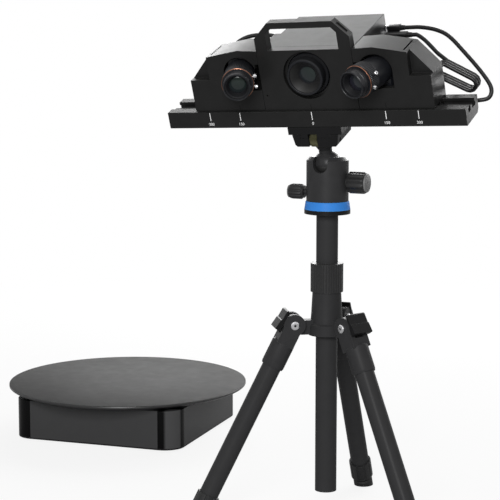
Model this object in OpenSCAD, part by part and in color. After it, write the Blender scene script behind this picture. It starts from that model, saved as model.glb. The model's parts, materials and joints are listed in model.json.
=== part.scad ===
// Desktop 3D scanner: a scan head with a projector and two sliding cameras, on a ball head
// and a short tripod, with a motor turntable beside it.
// Millimetres. +Z is up, the front faces -Y and the camera rail runs along X.
// The origin is on the floor, under the middle of the whole object.

/* [Placing] */
// Tripod axis to turntable axis, to the left
table_left = 472; // [440:2:560]
// Tripod axis to turntable axis, to the back
table_back = 338; // [280:2:420]
// Turn of the turntable's base about its own axis, degrees
table_turn = 5; // [-20:1:20]
// Forward tilt of the scan head at rest, degrees
head_pitch = 18.5; // [0:0.5:24]
// Sideways tilt of the scan head at rest, degrees, the right end up
head_roll = 2.2; // [0:0.1:4]

/* [Turntable] */
// Diameter of the turning disc
disc_d = 372; // [280:2:420]
// Thickness of the turning disc
disc_t = 8; // [6:0.5:14]
// Side of the square base
base_w = 272; // [220:2:280]
// Height of the base casing
base_h = 60; // [52:1:90]
// Corner radius of the base
base_r = 30; // [16:1:40]
// Wall of the base casing
base_wall = 3; // [2:0.5:5]
// Gap between the base and the disc
disc_gap = 4; // [3.5:0.5:8]
// Radius of the spindle shaft
spindle_r = 8; // [6:0.5:9]
// Height of the rubber pads
pad_h = 3; // [2:0.5:5]
// Teeth on the spindle gear
gear_teeth = 60; // [48:1:72]
// Teeth on the motor pinion
pinion_teeth = 15; // [12:1:20]

/* [Tripod] */
// Length of a closed leg, from its pivot to the floor
leg_len = 290; // [286:1:330]
// Spread of a leg from vertical, degrees
leg_spread = 26.5; // [18:0.5:30]
// Turn of the legs about the column, degrees
leg_turn = 4; // [-20:1:20]
// Tripod axis to leg pivot
pivot_r = 44.5; // [42:0.5:60]
// Radius of the hub ring
hub_r = 24.5; // [22:0.5:27]
// Radius of the centre column
column_r = 14; // [12:0.5:15]
// Length of the centre column
column_len = 364; // [340:2:370]
// Bare column between the collar and the ball head
column_bare = 64; // [40:1:64]
// Radius of the column's locking collar
collar_r = 21; // [19.5:0.5:28]
// Height of the column's locking collar
collar_h = 37; // [28:1:44]
// Radius of the upper leg tube
tube_r = 12.5; // [12:0.5:14]
// Wall of the leg tubes and of the column
tube_wall = 1.5; // [1:0.25:2]
// Radius of the pivot drum
drum_r = 14; // [12:0.5:16]
// Width of the hub's tongue in the leg's fork
tongue_w = 14; // [10:1:20]
// Thickness of one fork cheek
cheek_t = 7; // [5:0.5:10]

/* [Ball head] */
// Radius of the ball head's housing
body_r = 27; // [26:0.5:32]
// Height of the ball head's housing
body_h = 57; // [54:1:70]
// Radius of the ball
ball_r = 18; // [16:0.5:18.5]
// Height of the coloured pan ring
pan_ring_h = 10.5; // [6:0.5:14]
// Radius of the main locking knob
main_knob_r = 14; // [10:0.5:17]
// Radius of the pan locking knob
pan_knob_r = 9.8; // [7:0.2:12]
// Height of the plate clamp
clamp_h = 16; // [14:0.5:20]
// Width of the plate clamp
clamp_w = 62; // [60:1:70]
// Height of the dovetail plate
plate_h = 10; // [8:0.5:14]

/* [Scan head] */
// Length of the camera rail
rail_len = 400; // [380:2:480]
// Depth of the camera rail
rail_d = 50; // [48:1:60]
// Height of the camera rail
rail_h = 22; // [18:1:30]
// Width of the front plate
face_w = 126; // [120:1:130]
// Thickness of the front plate
face_t = 14; // [12:0.5:20]
// Height of the front plate up to the top of its handle
face_h = 115; // [109:1:130]
// Height of the projector casing
box_h = 79; // [76:1:81]
// Depth of the projector casing behind the front plate
box_d = 115; // [110:1:146]
// Height of the projector's axis above the rail
lens_z = 45.5; // [44:0.5:46]
// Radius of the projector's lens barrel
barrel_r = 27; // [22:0.5:28.5]
// Camera's axis to the middle of the rail, at the housing's face
camera_x = 90; // [89:0.5:93]
// Turn of each camera towards the middle, degrees
toe_in = 18; // [12:1:20]
// Reach of a camera's lens in front of its housing
lens_reach = 48; // [46:1:60]
// Radius of a camera's lens barrel
lens_r = 18; // [15:0.5:18.5]
// Width of a camera housing
camera_w = 97; // [94:1:104]
// Height of a camera housing at its peak
camera_h = 80; // [78:0.5:86]
// Diameter of the cables
cord_d = 5.4; // [4:0.2:6]

/* [Hidden] */
$fn = 48;
seat = 0.3;             // gap between pieces that face each other
run = 0.05;             // radial gap of a running fit
edge = 1;               // small chamfers

// Turntable, heights from the floor
base_top = pad_h + base_h;
disc_z = base_top + disc_gap;
shelf_z = base_top - base_wall;
gear_m = 1;
gear_r = gear_m * gear_teeth / 2;
pinion_r = gear_m * pinion_teeth / 2;
gear_z = pad_h + 17;
gear_h = 8;
bearing_r = spindle_r + 6;
bearing_h = 8;
bearing_z = shelf_z - 5;
motor_r = 17.5;
motor_h = 22;
motor_x = gear_r + pinion_r + 0.2;
shaft_r = 2.5;
pad_r = 11;
pad_at = base_w / 2 - base_r - 2;

// Tripod, heights from the leg pivots
leg_angles = leg_turn * [1, 1, 1] + [210, 330, 90];
pivot_z = leg_len * cos(leg_spread);
bolt_r = 4;
bolt_head_r = 5.7;
fork_w = tongue_w + 2 * cheek_t + 2 * seat;
hub_low = -15;
hub_step = -1;
shoulder_z = 41;
neck_r = column_r + 2.6;
collar_low = shoulder_z + seat;
collar_top = collar_low + collar_h;
column_top = collar_top + column_bare;
sleeve_r = tube_r + 2.5;
sleeve_top = -25;
sleeve_end = -61;
tube_top = -29;
lock_len = 26;
lock_top = -(leg_len - 44);
tube_end = lock_top - 12;
lower_r = tube_r - tube_wall - 0.5;
foot_top = -(leg_len - 14);
latch_w = fork_w + 2;

// Ball head, heights from the leg pivots, then from the ball's centre
pan_base_t = 5.5;
spigot_r = 11;
ring_r = body_r + 2.5;
body_z = column_top + pan_base_t + pan_ring_h + seat;
shoulder = 5;
ball_up = 10;           // the housing's top above the ball's centre
ball_z = body_z + body_h - ball_up;
cup_t = 2;
neck_up = 34;           // the clamp's underside above the ball's centre
stem_r = 8.5;
flange_r = 13;
mouth_r = ball_r - 2;
notch_r = stem_r + 1.5;
main_knob_z = -22.5;
main_knob_x = body_r + 3;
main_knob_len = 25;
pan_knob_z = -37;
pan_knob_x = body_r + 7;
pan_knob_len = 19;
knob_stem_r = 4;
dove_low = 22;          // half width of the dovetail at its foot
dove_high = 19;
dove_h = 4.5;
plate_half = 36;
wheel_r = 9.5;
wheel_w = 10;
wheel_x = -4;
wheel_y = -16;
wheel_z = neck_up + 6.5;
flange_z = wheel_z - wheel_r - seat;
screw_r = 2.5;
clamp_d = rail_d;

// Scan head, from the ball's centre along the head's own axes
clamp_top = neck_up + clamp_h;
rail_z = clamp_top + plate_h;
deck_z = rail_z + rail_h;       // the rail's top face
face_back = 4;                  // the front faces lie behind the rail's front
face_y = -rail_d / 2 + face_back;
slot_w = 24;
slot_deep = 9;
slot_lip = 4;
slot_under = 2.5;
rib_w = 6.5;
rib_h = 5.5;
rib_y = -2.2;
face_cut = 20;                  // corner chamfers of the handle
bar_h = 8;
post_w = 16;
grip_cut = 6.5;
box_wall = 3;
step_y = 44;                    // where the casing's left side steps in
step_in = 8;
box_back = face_y + face_t + box_d;
funnel_deep = 12;
glass_r = 12.5;
spindle_flange = 34;
engine_y = 10;
engine_left = 34;
engine_w = 72;
engine_d = 66;
engine_h = 68;
nose_left = 20;
nose_w = 44;
nose_d = 8;
nose_h = 50;
vent_first = 18;
vent_step = 7;
vent_w = 3;
vent_low = 40;
vent_h = 24;
panel_t = 3;
gland_r = 5;
gland_len = 6;

// Camera housings, the right one; the left one mirrors it
housing_in = face_w / 2 + 0.5;
housing_d = rail_d - face_back;
corner_w = 27;
corner_z = 42;
shoulder_up = camera_h - 7.5;
peak_x = 26.5;
inner_up = camera_h - 1.5;
pocket_deep = 11;
window_r = 22.5;
window_low = 27;
window_mouth = 61;
front_wall = 6;
back_wall = 6;
room_w = 66;
camera_z = 48.5;
camera_side = 36;
block_w = 28;
block_at = (front_wall + block_w / 2 * sin(toe_in)) / cos(toe_in) + seat;
camera_len = 26;
collar_len = 17;
ring_len = 14;
bezel_r = lens_r + 4;
bezel_len = 9;
gland_x = camera_x + 20;
gland_z = 50;

// Cables, points chosen along the head's own axes, with z above the rail's top
cord_r = cord_d / 2;
plug_size = [[27, 11, 8], [40, 11, 7]];
plug_at = [[104, 61], [90, 56]];   // y and z of their middles
box_side = face_w / 2;
loop_points = [
    [box_side + 27, 104, 61], [97, 104, 61], [112, 103, 61], [132, 100, 58], [150, 94, 51],
    [172, 82, 33], [195, 68, 12], [208, 58, -4], [207, 50, -14], [196, 45, -16], [170, 43, -16],
    [130, 44, -16], [90, 54, -16], [55, 80, -16], [34, 110, -13], [27, 132, -4], [27, 140, 8],
    [30, 138, 18], [30, 128, 20], [30, box_back + gland_len, 20]
];
hank_in = [[box_side + 40, 90, 56], [109, 90, 56], [120, 85, 51], [130, 79, 44], [141, 72, 36]];
hank_out = [[132, 44, 44], [115, 43, 50], [gland_x, 38, gland_z], [gland_x, rail_d / 2 + gland_len, gland_z]];
left_points = [
    [-(box_side - step_in) - gland_len, 75, 60], [-68, 75, 60], [-80, 74, 66], [-94, 67, 70],
    [-108, 58, 71], [-119, 48, 67], [-121, 44, 58], [-114, 43, 51], [-gland_x, 38, gland_z],
    [-gland_x, rail_d / 2 + gland_len, gland_z]
];
hank_low = [184, 3];        // x and z of the hank's outer turn
hank_high = [150, 22];      // x and z of its inner turn
hank_r = 8;
hank_y = [65, 46];           // from the first loop to the last
hank_turns = 3;
turn_steps = 24;

// The outline's middle, which puts the origin under the whole object
lens_tip_y = face_y - lens_reach * cos(toe_in);
tip_slope = cos(toe_in) * cos(head_pitch);
front_reach = -(lens_tip_y * cos(head_pitch) - (deck_z + camera_z) * sin(head_pitch))
    + bezel_r * sqrt(1 - tip_slope * tip_slope);
right_reach = rail_len / 2 * cos(head_roll)
    - (rail_z * cos(head_pitch) - (rail_d / 2 - edge) * sin(head_pitch)) * sin(head_roll);
tripod_x = (table_left + disc_d / 2 - right_reach) / 2;
tripod_y = (front_reach - table_back - disc_d / 2) / 2;
table_x = tripod_x - table_left;
table_y = tripod_y + table_back;

// ---------------------------------------------------------------- places

module on_table() {
    translate([table_x, table_y, 0]) rotate([0, 0, table_turn]) children();
}

// The tripod's axis, at the height of the leg pivots
module on_tripod() {
    translate([tripod_x, tripod_y, pivot_z]) children();
}

// A leg's own frame: its pivot, with the leg running down along -Z and +X outward
module on_leg(i) {
    on_tripod()
        rotate([0, 0, leg_angles[i]])
            translate([pivot_r, 0, 0])
                rotate([0, -leg_spread, 0])
                    children();
}

// The ball's centre, upright
module on_ball() {
    on_tripod() translate([0, 0, ball_z]) children();
}

// The scan head's own frame: the ball's centre, tilted
module on_head() {
    on_ball() rotate([head_pitch, -head_roll, 0]) children();
}

// The head's frame with its origin on the rail's top
module on_deck() {
    on_head() translate([0, 0, deck_z]) children();
}

// The right camera's place for side 1, the left one's for side -1
module on_side(side) {
    on_head()
        mirror([side < 0 ? 1 : 0, 0, 0])
            children();
}

// A camera's own frame: its lens axis along -Z, from the housing's front face
module on_lens(side) {
    on_side(side)
        translate([camera_x, face_y, deck_z + camera_z])
            rotate([0, 0, -toe_in])
                rotate([-90, 0, 0])
                    children();
}

// ---------------------------------------------------------------- shapes

module tube(r, bore, h) {
    difference() {
        cylinder(r = r, h = h);
        translate([0, 0, -1]) cylinder(r = bore, h = h + 2);
    }
}

module rounded_square(w, r) {
    for (turn = [0, 90])
        rotate(turn) square([w, w - 2 * r], center = true);
    for (x = [-1, 1], y = [-1, 1])
        translate([x, y] * (w / 2 - r)) circle(r);
}

// A round outline with grooves along it
module fluted(r, count, groove) {
    difference() {
        circle(r);
        for (i = [0:count - 1])
            rotate(i * 360 / count) translate([r + groove / 3, 0]) circle(groove, $fn = 16);
    }
}

module gear_outline(teeth) {
    step = 360 / teeth;
    root = gear_m * (teeth / 2 - 1.25);
    tip = gear_m * (teeth / 2 + 0.9);
    flank = [[root, -0.27], [tip, -0.11], [tip, 0.11], [root, 0.27]];
    polygon([
        for (i = [0:teeth - 1], p = flank)
            p[0] * [cos((i + p[1]) * step), sin((i + p[1]) * step)]
    ]);
}

// An outline drawn in X and Z, from depth y backwards
module upright(y, depth) {
    translate([0, y + depth, 0])
        rotate([90, 0, 0])
            linear_extrude(depth)
                children();
}

// ---------------------------------------------------------------- cables

function unit(v) = v / norm(v);

// A smooth curve through hand-chosen points, with n steps a stretch; the end stretches are straight
function knot(p, i) = p[max(0, min(len(p) - 1, i))];
function curve_point(a, b, c, d, t) =
    0.5 * (2 * b + (c - a) * t + (2 * a - 5 * b + 4 * c - d) * t * t + (3 * b - a - 3 * c + d) * t * t * t);
function curve(p, n) = concat(
    [p[0]],
    [for (i = [1:len(p) - 3], k = [0:n - 1])
        curve_point(p[i - 1], p[i], p[i + 1], p[i + 2], k / n)],
    [p[len(p) - 2], p[len(p) - 1]]
);

function tangents(p) = [
    for (i = [0:len(p) - 1]) unit(knot(p, i + 1) - knot(p, i - 1))
];
function square_to(n, t) = unit(n - (n * t) * t);
function normals(t) = [
    for (i = 0, n = square_to([0.31, 0.17, 1], t[0]); i < len(t);
         i = i + 1, n = square_to(n, t[min(i, len(t) - 1)])) n
];

// A round tube along the points, with flat ends
module cord(points, sides) {
    t = tangents(points);
    n = normals(t);
    count = len(points);
    rings = [
        for (i = [0:count - 1], k = [0:sides - 1])
            points[i] + cord_r * (cos(k * 360 / sides) * n[i] + sin(k * 360 / sides) * cross(t[i], n[i]))
    ];
    walls = [
        for (i = [0:count - 2], k = [0:sides - 1], half = [0, 1])
            let (a = i * sides + k, b = i * sides + (k + 1) % sides)
                half == 0 ? [a, a + sides, b] : [b, a + sides, b + sides]
    ];
    near = [for (k = [1:sides - 2]) [0, k, k + 1]];
    far = [for (k = [1:sides - 2]) (count - 1) * sides * [1, 1, 1] + [0, k + 1, k]];
    polyhedron(concat(rings, [points[0], points[count - 1]]), concat(walls, near, far));
}

// Long loops side by side: each goes out along one straight, round the outer turn and back
hank_axis = unit(hank_low - hank_high);
hank_side = [hank_axis[1], -hank_axis[0]];
hank_run = norm(hank_low - hank_high);
function loop_place(f) =
    f < 0.25 ? hank_high + hank_axis * hank_run * 4 * f - hank_side * hank_r
    : f < 0.5 ? hank_low - hank_r * (hank_side * cos(720 * (f - 0.25)) - hank_axis * sin(720 * (f - 0.25)))
    : f < 0.75 ? hank_low - hank_axis * hank_run * 4 * (f - 0.5) + hank_side * hank_r
    : hank_high + hank_r * (hank_side * cos(720 * (f - 0.75)) - hank_axis * sin(720 * (f - 0.75)));
function hank_loops() = [
    for (i = [0:hank_turns * turn_steps])
        let (
            place = loop_place((i / turn_steps) % 1),
            y = hank_y[0] + (hank_y[1] - hank_y[0]) * i / (hank_turns * turn_steps)
        )
        [place[0], y, place[1]]
];
hank_points = let (
    loops = hank_loops(),
    last = len(loops) - 1,
    way_in = curve(concat(hank_in, [loops[0]]), 3),
    way_out = curve(concat([loops[last]], hank_out), 3)
) concat([for (i = [0:len(way_in) - 2]) way_in[i]], loops, [for (i = [1:len(way_out) - 1]) way_out[i]]);

// Least free gap of the hank to itself, between points more than half a loop apart
hank_gap = min([
    for (i = [0:len(hank_points) - 1], k = [i + 8:1:len(hank_points) - 1])
        norm(hank_points[i] - hank_points[k])
]) - cord_d;
echo(hank_gap = hank_gap);

// ---------------------------------------------------------------- turntable

module table_base() {
    color("#2c2c2e")
        on_table() difference() {
            union() {
                translate([0, 0, pad_h]) difference() {
                    linear_extrude(base_h) rounded_square(base_w, base_r);
                    translate([0, 0, -1])
                        linear_extrude(base_h - base_wall + 1)
                            rounded_square(base_w - 2 * base_wall, base_r - base_wall);
                }
                // bearing boss under the top
                translate([0, 0, bearing_z - 3]) cylinder(r = bearing_r + 4, h = shelf_z - bearing_z + 3);
            }
            translate([0, 0, bearing_z]) cylinder(r = bearing_r + 0.01, h = base_top);
            translate([0, 0, gear_z]) cylinder(r = bearing_r - 2, h = base_top);
        }
}

module table_bottom_cover() {
    inner_w = base_w - 2 * (base_wall + seat);
    color("#232325")
        on_table() difference() {
            union() {
                translate([0, 0, pad_h])
                    linear_extrude(base_wall) rounded_square(inner_w, base_r - base_wall - seat);
                // foot bearing of the spindle
                translate([0, 0, pad_h]) cylinder(r = spindle_r + 5, h = 11);
            }
            translate([0, 0, pad_h + base_wall]) cylinder(r = spindle_r + run, h = 20);
        }
}

module table_feet() {
    color("#151515")
        on_table()
            for (x = [-1, 1], y = [-1, 1])
                translate([x * pad_at, y * pad_at, 0])
                    cylinder(r = pad_r, h = pad_h);
}

module table_disc() {
    color("#585858")
        on_table() translate([0, 0, disc_z])
            rotate_extrude($fn = 96)
                polygon([
                    [0, 0], [disc_d / 2 - 3, 0], [disc_d / 2, 2.5], [disc_d / 2, disc_t - edge],
                    [disc_d / 2 - edge, disc_t], [0, disc_t]
                ]);
}

module table_spindle() {
    color("#b8b8b4")
        on_table() {
            translate([0, 0, pad_h + base_wall]) cylinder(r = spindle_r, h = disc_z - pad_h - base_wall);
            translate([0, 0, base_top + seat]) cylinder(r = spindle_flange, h = disc_gap - seat);
            translate([0, 0, gear_z]) linear_extrude(gear_h) gear_outline(gear_teeth);
        }
}

module table_bearing() {
    color("#c9c9c9")
        on_table() translate([0, 0, bearing_z]) tube(bearing_r, spindle_r + run, bearing_h);
}

module table_motor() {
    color("#8d8f92")
        on_table() translate([motor_x, 0, 0]) difference() {
            union() {
                translate([0, 0, shelf_z - motor_h]) cylinder(r = motor_r, h = motor_h);
                translate([0, 0, shelf_z - 2]) linear_extrude(2) rounded_square(motor_r * 2 + 3, 4);
            }
            translate([0, 0, shelf_z - motor_h - 1]) cylinder(r = shaft_r + run, h = 13);
        }
}

module table_pinion() {
    color("#c2a14d")
        on_table() translate([motor_x, 0, 0]) {
            translate([0, 0, gear_z - 1])
                linear_extrude(gear_h + 2)
                    rotate(180 / pinion_teeth * (pinion_teeth + 1)) gear_outline(pinion_teeth);
            translate([0, 0, gear_z - 1]) cylinder(r = shaft_r, h = shelf_z - motor_h + 11.5 - gear_z);
        }
}

// ---------------------------------------------------------------- tripod

module tripod_hub() {
    color("#262628")
        on_tripod() difference() {
            union() {
                rotate_extrude()
                    polygon([
                        [0, hub_low], [hub_r - edge, hub_low], [hub_r, hub_low + edge], [hub_r, hub_step],
                        [hub_r - 3.5, hub_step + 2], [hub_r - 4.5, hub_step + 14], [hub_r - 6, shoulder_z],
                        [neck_r, shoulder_z], [neck_r, collar_low + collar_h - 12], [0, collar_low + collar_h - 12]
                    ]);
                for (a = leg_angles)
                    rotate([0, 0, a])
                        translate([pivot_r, tongue_w / 2, 0])
                            rotate([90, 0, 0])
                                linear_extrude(tongue_w) hub_tongue();
            }
            translate([0, 0, hub_low - 1]) cylinder(r = column_r + run, h = 200);
            for (a = leg_angles)
                rotate([0, 0, a])
                    translate([pivot_r, 0, 0])
                        rotate([90, 0, 0])
                            cylinder(r = bolt_r + 0.01, h = 3 * tongue_w, center = true);
        }
}

module hub_tongue() {
    root = column_r + 4 - pivot_r;
    low = hub_low + 1.5;
    circle(drum_r - 4);
    polygon([[root, low], [-10, low], [0, -drum_r + 5], [0, 5], [root, 5]]);
}

// One bolt a leg, through the tongue and both cheeks
module pivot_bolts() {
    color("#d4d4d4")
        for (i = [0:2])
            on_leg(i) rotate([90, 0, 0]) {
                cylinder(r = bolt_r, h = fork_w + 2, center = true);
                for (side = [0, 1])
                    mirror([0, 0, side])
                        translate([0, 0, fork_w / 2 + 0.1])
                            rotate_extrude()
                                polygon([[0, 0], [bolt_head_r, 0], [bolt_head_r, 1.8], [bolt_head_r - 1.2, 3], [0, 3]]);
            }
}

module leg_fork(i) {
    color("#232325")
        on_leg(i) difference() {
            union() {
                for (side = [-1, 1])
                    translate([0, side * (tongue_w / 2 + seat + cheek_t / 2) + cheek_t / 2, 0])
                        rotate([90, 0, 0])
                            linear_extrude(cheek_t) {
                                circle(drum_r);
                                translate([-tube_r + 1, tube_top]) square([2 * tube_r - 2, -tube_top]);
                            }
                translate([-tube_r + 1, -fork_w / 2, tube_top]) cube([2 * tube_r - 2, fork_w, 12]);
                translate([0, 0, sleeve_end])
                    rotate_extrude()
                        polygon([
                            [0, 0], [sleeve_r - 0.8, 0], [sleeve_r, 3], [sleeve_r, sleeve_top - sleeve_end - 2],
                            [sleeve_r - 2, sleeve_top - sleeve_end], [0, sleeve_top - sleeve_end]
                        ]);
            }
            translate([0, 0, sleeve_end - 1]) cylinder(r = tube_r + 0.02, h = tube_top - sleeve_end + 1);
            rotate([90, 0, 0]) cylinder(r = bolt_r + run, h = 2 * fork_w, center = true);
        }
}

module leg_tube(i) {
    color("#1b1b1c")
        on_leg(i) translate([0, 0, tube_end]) tube(tube_r, tube_r - tube_wall, tube_top - tube_end);
}

// The angle latch, a sliding plate with two wedge steps outside the drum
module leg_latch(i) {
    x0 = drum_r + seat;
    color("#141414")
        on_leg(i)
            translate([0, latch_w / 2, 0])
                rotate([90, 0, 0])
                    linear_extrude(latch_w)
                        polygon([
                            [x0, -15], [x0 + 7.5, -14], [x0 + 5.5, -1], [x0 + 4.2, -0.2], [x0 + 3.2, 12],
                            [x0 + 1.8, 13.5], [x0, 13.5]
                        ]);
}

module leg_lock(i) {
    color("#202022")
        on_leg(i) difference() {
            translate([0, 0, lock_top - lock_len]) {
                linear_extrude(lock_len) fluted(sleeve_r, 10, 1.6);
            }
            translate([0, 0, tube_end - 0.1]) cylinder(r = tube_r + run, h = lock_len);
            translate([0, 0, lock_top - lock_len - 1]) cylinder(r = lower_r + run, h = lock_len);
        }
}

module leg_lower(i) {
    top = -60;
    color("#1b1b1c")
        on_leg(i) difference() {
            union() {
                translate([0, 0, foot_top]) cylinder(r = lower_r, h = top - foot_top);
                translate([0, 0, top - 15]) cylinder(r = tube_r - tube_wall - run, h = 15);
            }
            translate([0, 0, foot_top - 1]) cylinder(r = lower_r - tube_wall, h = top - foot_top + 2);
        }
}

// A rubber foot, cut flat on the floor
module leg_foot(i) {
    color("#121212")
        difference() {
            on_leg(i) translate([0, 0, foot_top - 30])
                rotate_extrude()
                    polygon([[0, 0], [tube_r + 0.5, 0], [tube_r + 0.5, 28], [tube_r - 1, 30], [0, 30]]);
            translate([tripod_x, tripod_y, -50]) cylinder(r = 2 * leg_len, h = 50);
        }
}

module column_collar() {
    color("#1d1d1f")
        on_tripod() translate([0, 0, collar_low]) difference() {
            linear_extrude(collar_h) fluted(collar_r, 36, 0.9);
            translate([0, 0, -1]) cylinder(r = neck_r + run, h = collar_h - 12 + 1.4);
            cylinder(r = column_r + run, h = collar_h + 1);
        }
}

module centre_column() {
    color("#1b1b1c")
        on_tripod() translate([0, 0, column_top - column_len]) difference() {
            cylinder(r = column_r, h = column_len);
            translate([0, 0, 4]) cylinder(r = column_r - tube_wall, h = column_len - 10);
        }
}

// ---------------------------------------------------------------- ball head

module pan_base() {
    color("#252527")
        on_tripod() translate([0, 0, column_top]) {
            cylinder(r = ring_r, h = pan_base_t);
            cylinder(r = body_r - 7, h = pan_base_t + pan_ring_h);
            cylinder(r = spigot_r, h = pan_base_t + pan_ring_h + 10);
        }
}

module pan_ring() {
    color("#2f6fc0")
        on_tripod() translate([0, 0, column_top + pan_base_t])
            rotate_extrude()
                polygon([
                    [body_r - 7 + 0.02, 0], [ring_r, 0], [ring_r - 0.4, 2], [body_r + 1, pan_ring_h - 1],
                    [body_r + 0.5, pan_ring_h], [body_r - 7 + 0.02, pan_ring_h]
                ]);
}

module ball_housing() {
    low = ball_up - body_h;
    color("#29292b")
        on_ball() difference() {
            rotate_extrude()
                polygon([
                    [0, low], [body_r, low], [body_r, ball_up - shoulder],
                    [body_r - shoulder, ball_up], [0, ball_up]
                ]);
            translate([0, 0, low - 1]) cylinder(r = spigot_r + run, h = 11.3);
            sphere(r = ball_r + 0.3);
            intersection() {
                sphere(r = ball_r + cup_t + 0.3);
                translate([0, 0, -2 * ball_r]) cylinder(r = 2 * ball_r, h = 2 * ball_r + 5);
            }
            cylinder(r = mouth_r, h = 2 * ball_r);
            // the notch that lets the stem drop forward
            rotate([90, 0, 0]) cylinder(r = notch_r, h = 2 * body_r);
            translate([-notch_r, -2 * body_r, 0]) cube([2 * notch_r, 2 * body_r, 2 * ball_r]);
            translate([0, 0, main_knob_z]) rotate([0, 90, 0])
                translate([0, 0, body_r - 13]) cylinder(r = knob_stem_r + run, h = body_r);
            translate([0, 0, pan_knob_z]) rotate([0, -90, 0])
                translate([0, 0, spigot_r + 1]) cylinder(r = knob_stem_r + run, h = body_r);
        }
}

// The plastic cup that the ball turns in
module ball_cup() {
    color("#8b8b80")
        on_ball() difference() {
            intersection() {
                sphere(r = ball_r + cup_t);
                translate([0, 0, -ball_r + 2]) cylinder(r = 2 * ball_r, h = ball_r - 4);
            }
            sphere(r = ball_r + run);
        }
}

module ball_stem() {
    color("#3c3c3e")
        on_head() {
            sphere(r = ball_r);
            cylinder(r = stem_r, h = neck_up);
            translate([0, 0, flange_z - 10]) cylinder(r1 = stem_r, r2 = flange_r, h = 8);
            translate([0, 0, flange_z - 2]) cylinder(r = flange_r, h = 2);
        }
}

module knob(r, len, count, neck, neck_at) {
    rotate([0, 0, 7]) linear_extrude(len - 2) fluted(r, count, r / 6);
    translate([0, 0, len - 3]) cylinder(r1 = r * 0.87, r2 = r * 0.74, h = 3);
    translate([0, 0, -neck_at]) cylinder(r = neck, h = neck_at + 1);
}

module main_knob() {
    color("#212123")
        on_ball() translate([0, 0, main_knob_z]) rotate([0, 90, 0]) {
            translate([0, 0, main_knob_x]) knob(main_knob_r, main_knob_len, 10, knob_stem_r, main_knob_x - body_r + 12);
            translate([0, 0, body_r + seat]) cylinder(r = 8, h = main_knob_x - body_r - seat);
        }
}

module pan_knob() {
    color("#212123")
        on_ball() translate([0, 0, pan_knob_z]) rotate([0, -90, 0])
            translate([0, 0, pan_knob_x])
                knob(pan_knob_r, pan_knob_len, 12, knob_stem_r, pan_knob_x - spigot_r - 2);
}

// The clamp's bed and fixed right jaw; its front gap holds the thumbwheel
module clamp_body() {
    bed_top = clamp_top - dove_h - seat;
    color("#262629")
        on_head() difference() {
            upright(-clamp_d / 2, clamp_d)
                polygon([
                    [-dove_low + 1.5, neck_up], [clamp_w / 2 - 5, neck_up], [clamp_w / 2 - 2.4, neck_up + 2.6],
                    [clamp_w / 2, clamp_top - 0.4], [dove_high + seat, clamp_top - 0.4],
                    [dove_low + seat, bed_top], [-dove_low + 1.5, bed_top]
                ]);
            translate([wheel_x - wheel_w / 2 - 1, -clamp_d / 2 - 1, 0]) cube([wheel_w + 2, clamp_d / 2 - 3, 2 * clamp_top]);
            translate([-clamp_w, wheel_y, wheel_z]) rotate([0, 90, 0]) cylinder(r = screw_r + run, h = 2 * clamp_w);
        }
}

module clamp_jaw() {
    bed_top = clamp_top - dove_h - seat;
    color("#262629")
        on_head() difference() {
            upright(-clamp_d / 2, clamp_d)
                polygon([
                    [-dove_low + 1.2, neck_up], [-clamp_w / 2 + 5, neck_up], [-clamp_w / 2 + 2.4, neck_up + 2.6],
                    [-clamp_w / 2, clamp_top - 0.4], [-dove_high - seat, clamp_top - 0.4],
                    [-dove_low - seat, bed_top], [-dove_low + 1.2, bed_top]
                ]);
            translate([-clamp_w, wheel_y, wheel_z]) rotate([0, 90, 0]) cylinder(r = screw_r + run, h = 2 * clamp_w);
        }
}

module clamp_wheel() {
    color("#77713f")
        on_head() translate([-clamp_w / 2 + 4, wheel_y, wheel_z]) rotate([0, 90, 0]) {
            cylinder(r = screw_r, h = clamp_w - 8);
            translate([0, 0, clamp_w / 2 - 4 + wheel_x - wheel_w / 2]) linear_extrude(wheel_w) fluted(wheel_r, 24, 0.8);
        }
}

// The plate under the rail; its dovetail is relieved over the thumbwheel
module dovetail_plate() {
    low = clamp_top - dove_h;
    color("#1c1c1e")
        on_head() difference() {
            upright(-rail_d / 2, rail_d)
                polygon([
                    [-dove_low, low], [dove_low, low], [dove_high, clamp_top], [plate_half, clamp_top],
                    [plate_half, rail_z], [-plate_half, rail_z], [-plate_half, clamp_top], [-dove_high, clamp_top]
                ]);
            translate([wheel_x - wheel_w / 2 - 1, -rail_d / 2 - 1, low - 1])
                cube([wheel_w + 2, rail_d / 2 - 3, wheel_z + wheel_r + 2 * seat - low + 1]);
        }
}

// ---------------------------------------------------------------- scan head

// Rail section: a slot with undercut walls and a rib on its floor
module rail_section() {
    half = slot_w / 2;
    difference() {
        polygon([
            [-rail_d / 2, edge], [-rail_d / 2 + edge, 0], [rail_d / 2 - 5, 0], [rail_d / 2, 5],
            [rail_d / 2, rail_h], [-rail_d / 2 + edge / 2, rail_h], [-rail_d / 2, rail_h - edge / 2]
        ]);
        translate([-half, rail_h - slot_deep]) square([slot_w, slot_deep + 1]);
        translate([-half - slot_under, rail_h - slot_deep]) square([slot_w + 2 * slot_under, slot_deep - slot_lip]);
    }
    translate([rib_y - rib_w / 2, rail_h - slot_deep - 1]) square([rib_w, rib_h + 1]);
}

module camera_rail() {
    color("#2a2a2b")
        on_head()
            translate([-rail_len / 2, 0, rail_z])
                rotate([90, 0, 90])
                    linear_extrude(rail_len) rail_section();
}

module face_outline() {
    half = face_w / 2;
    polygon([
        [-half, 0], [half, 0], [half, face_h - face_cut], [half - face_cut, face_h],
        [-half + face_cut, face_h], [-half, face_h - face_cut]
    ]);
}

module grip_outline() {
    half = face_w / 2 - post_w;
    low = box_h;
    high = face_h - bar_h;
    polygon([
        [-half, low], [half, low], [half, high - grip_cut], [half - grip_cut, high],
        [-half + grip_cut, high], [-half, high - grip_cut]
    ]);
}

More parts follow.
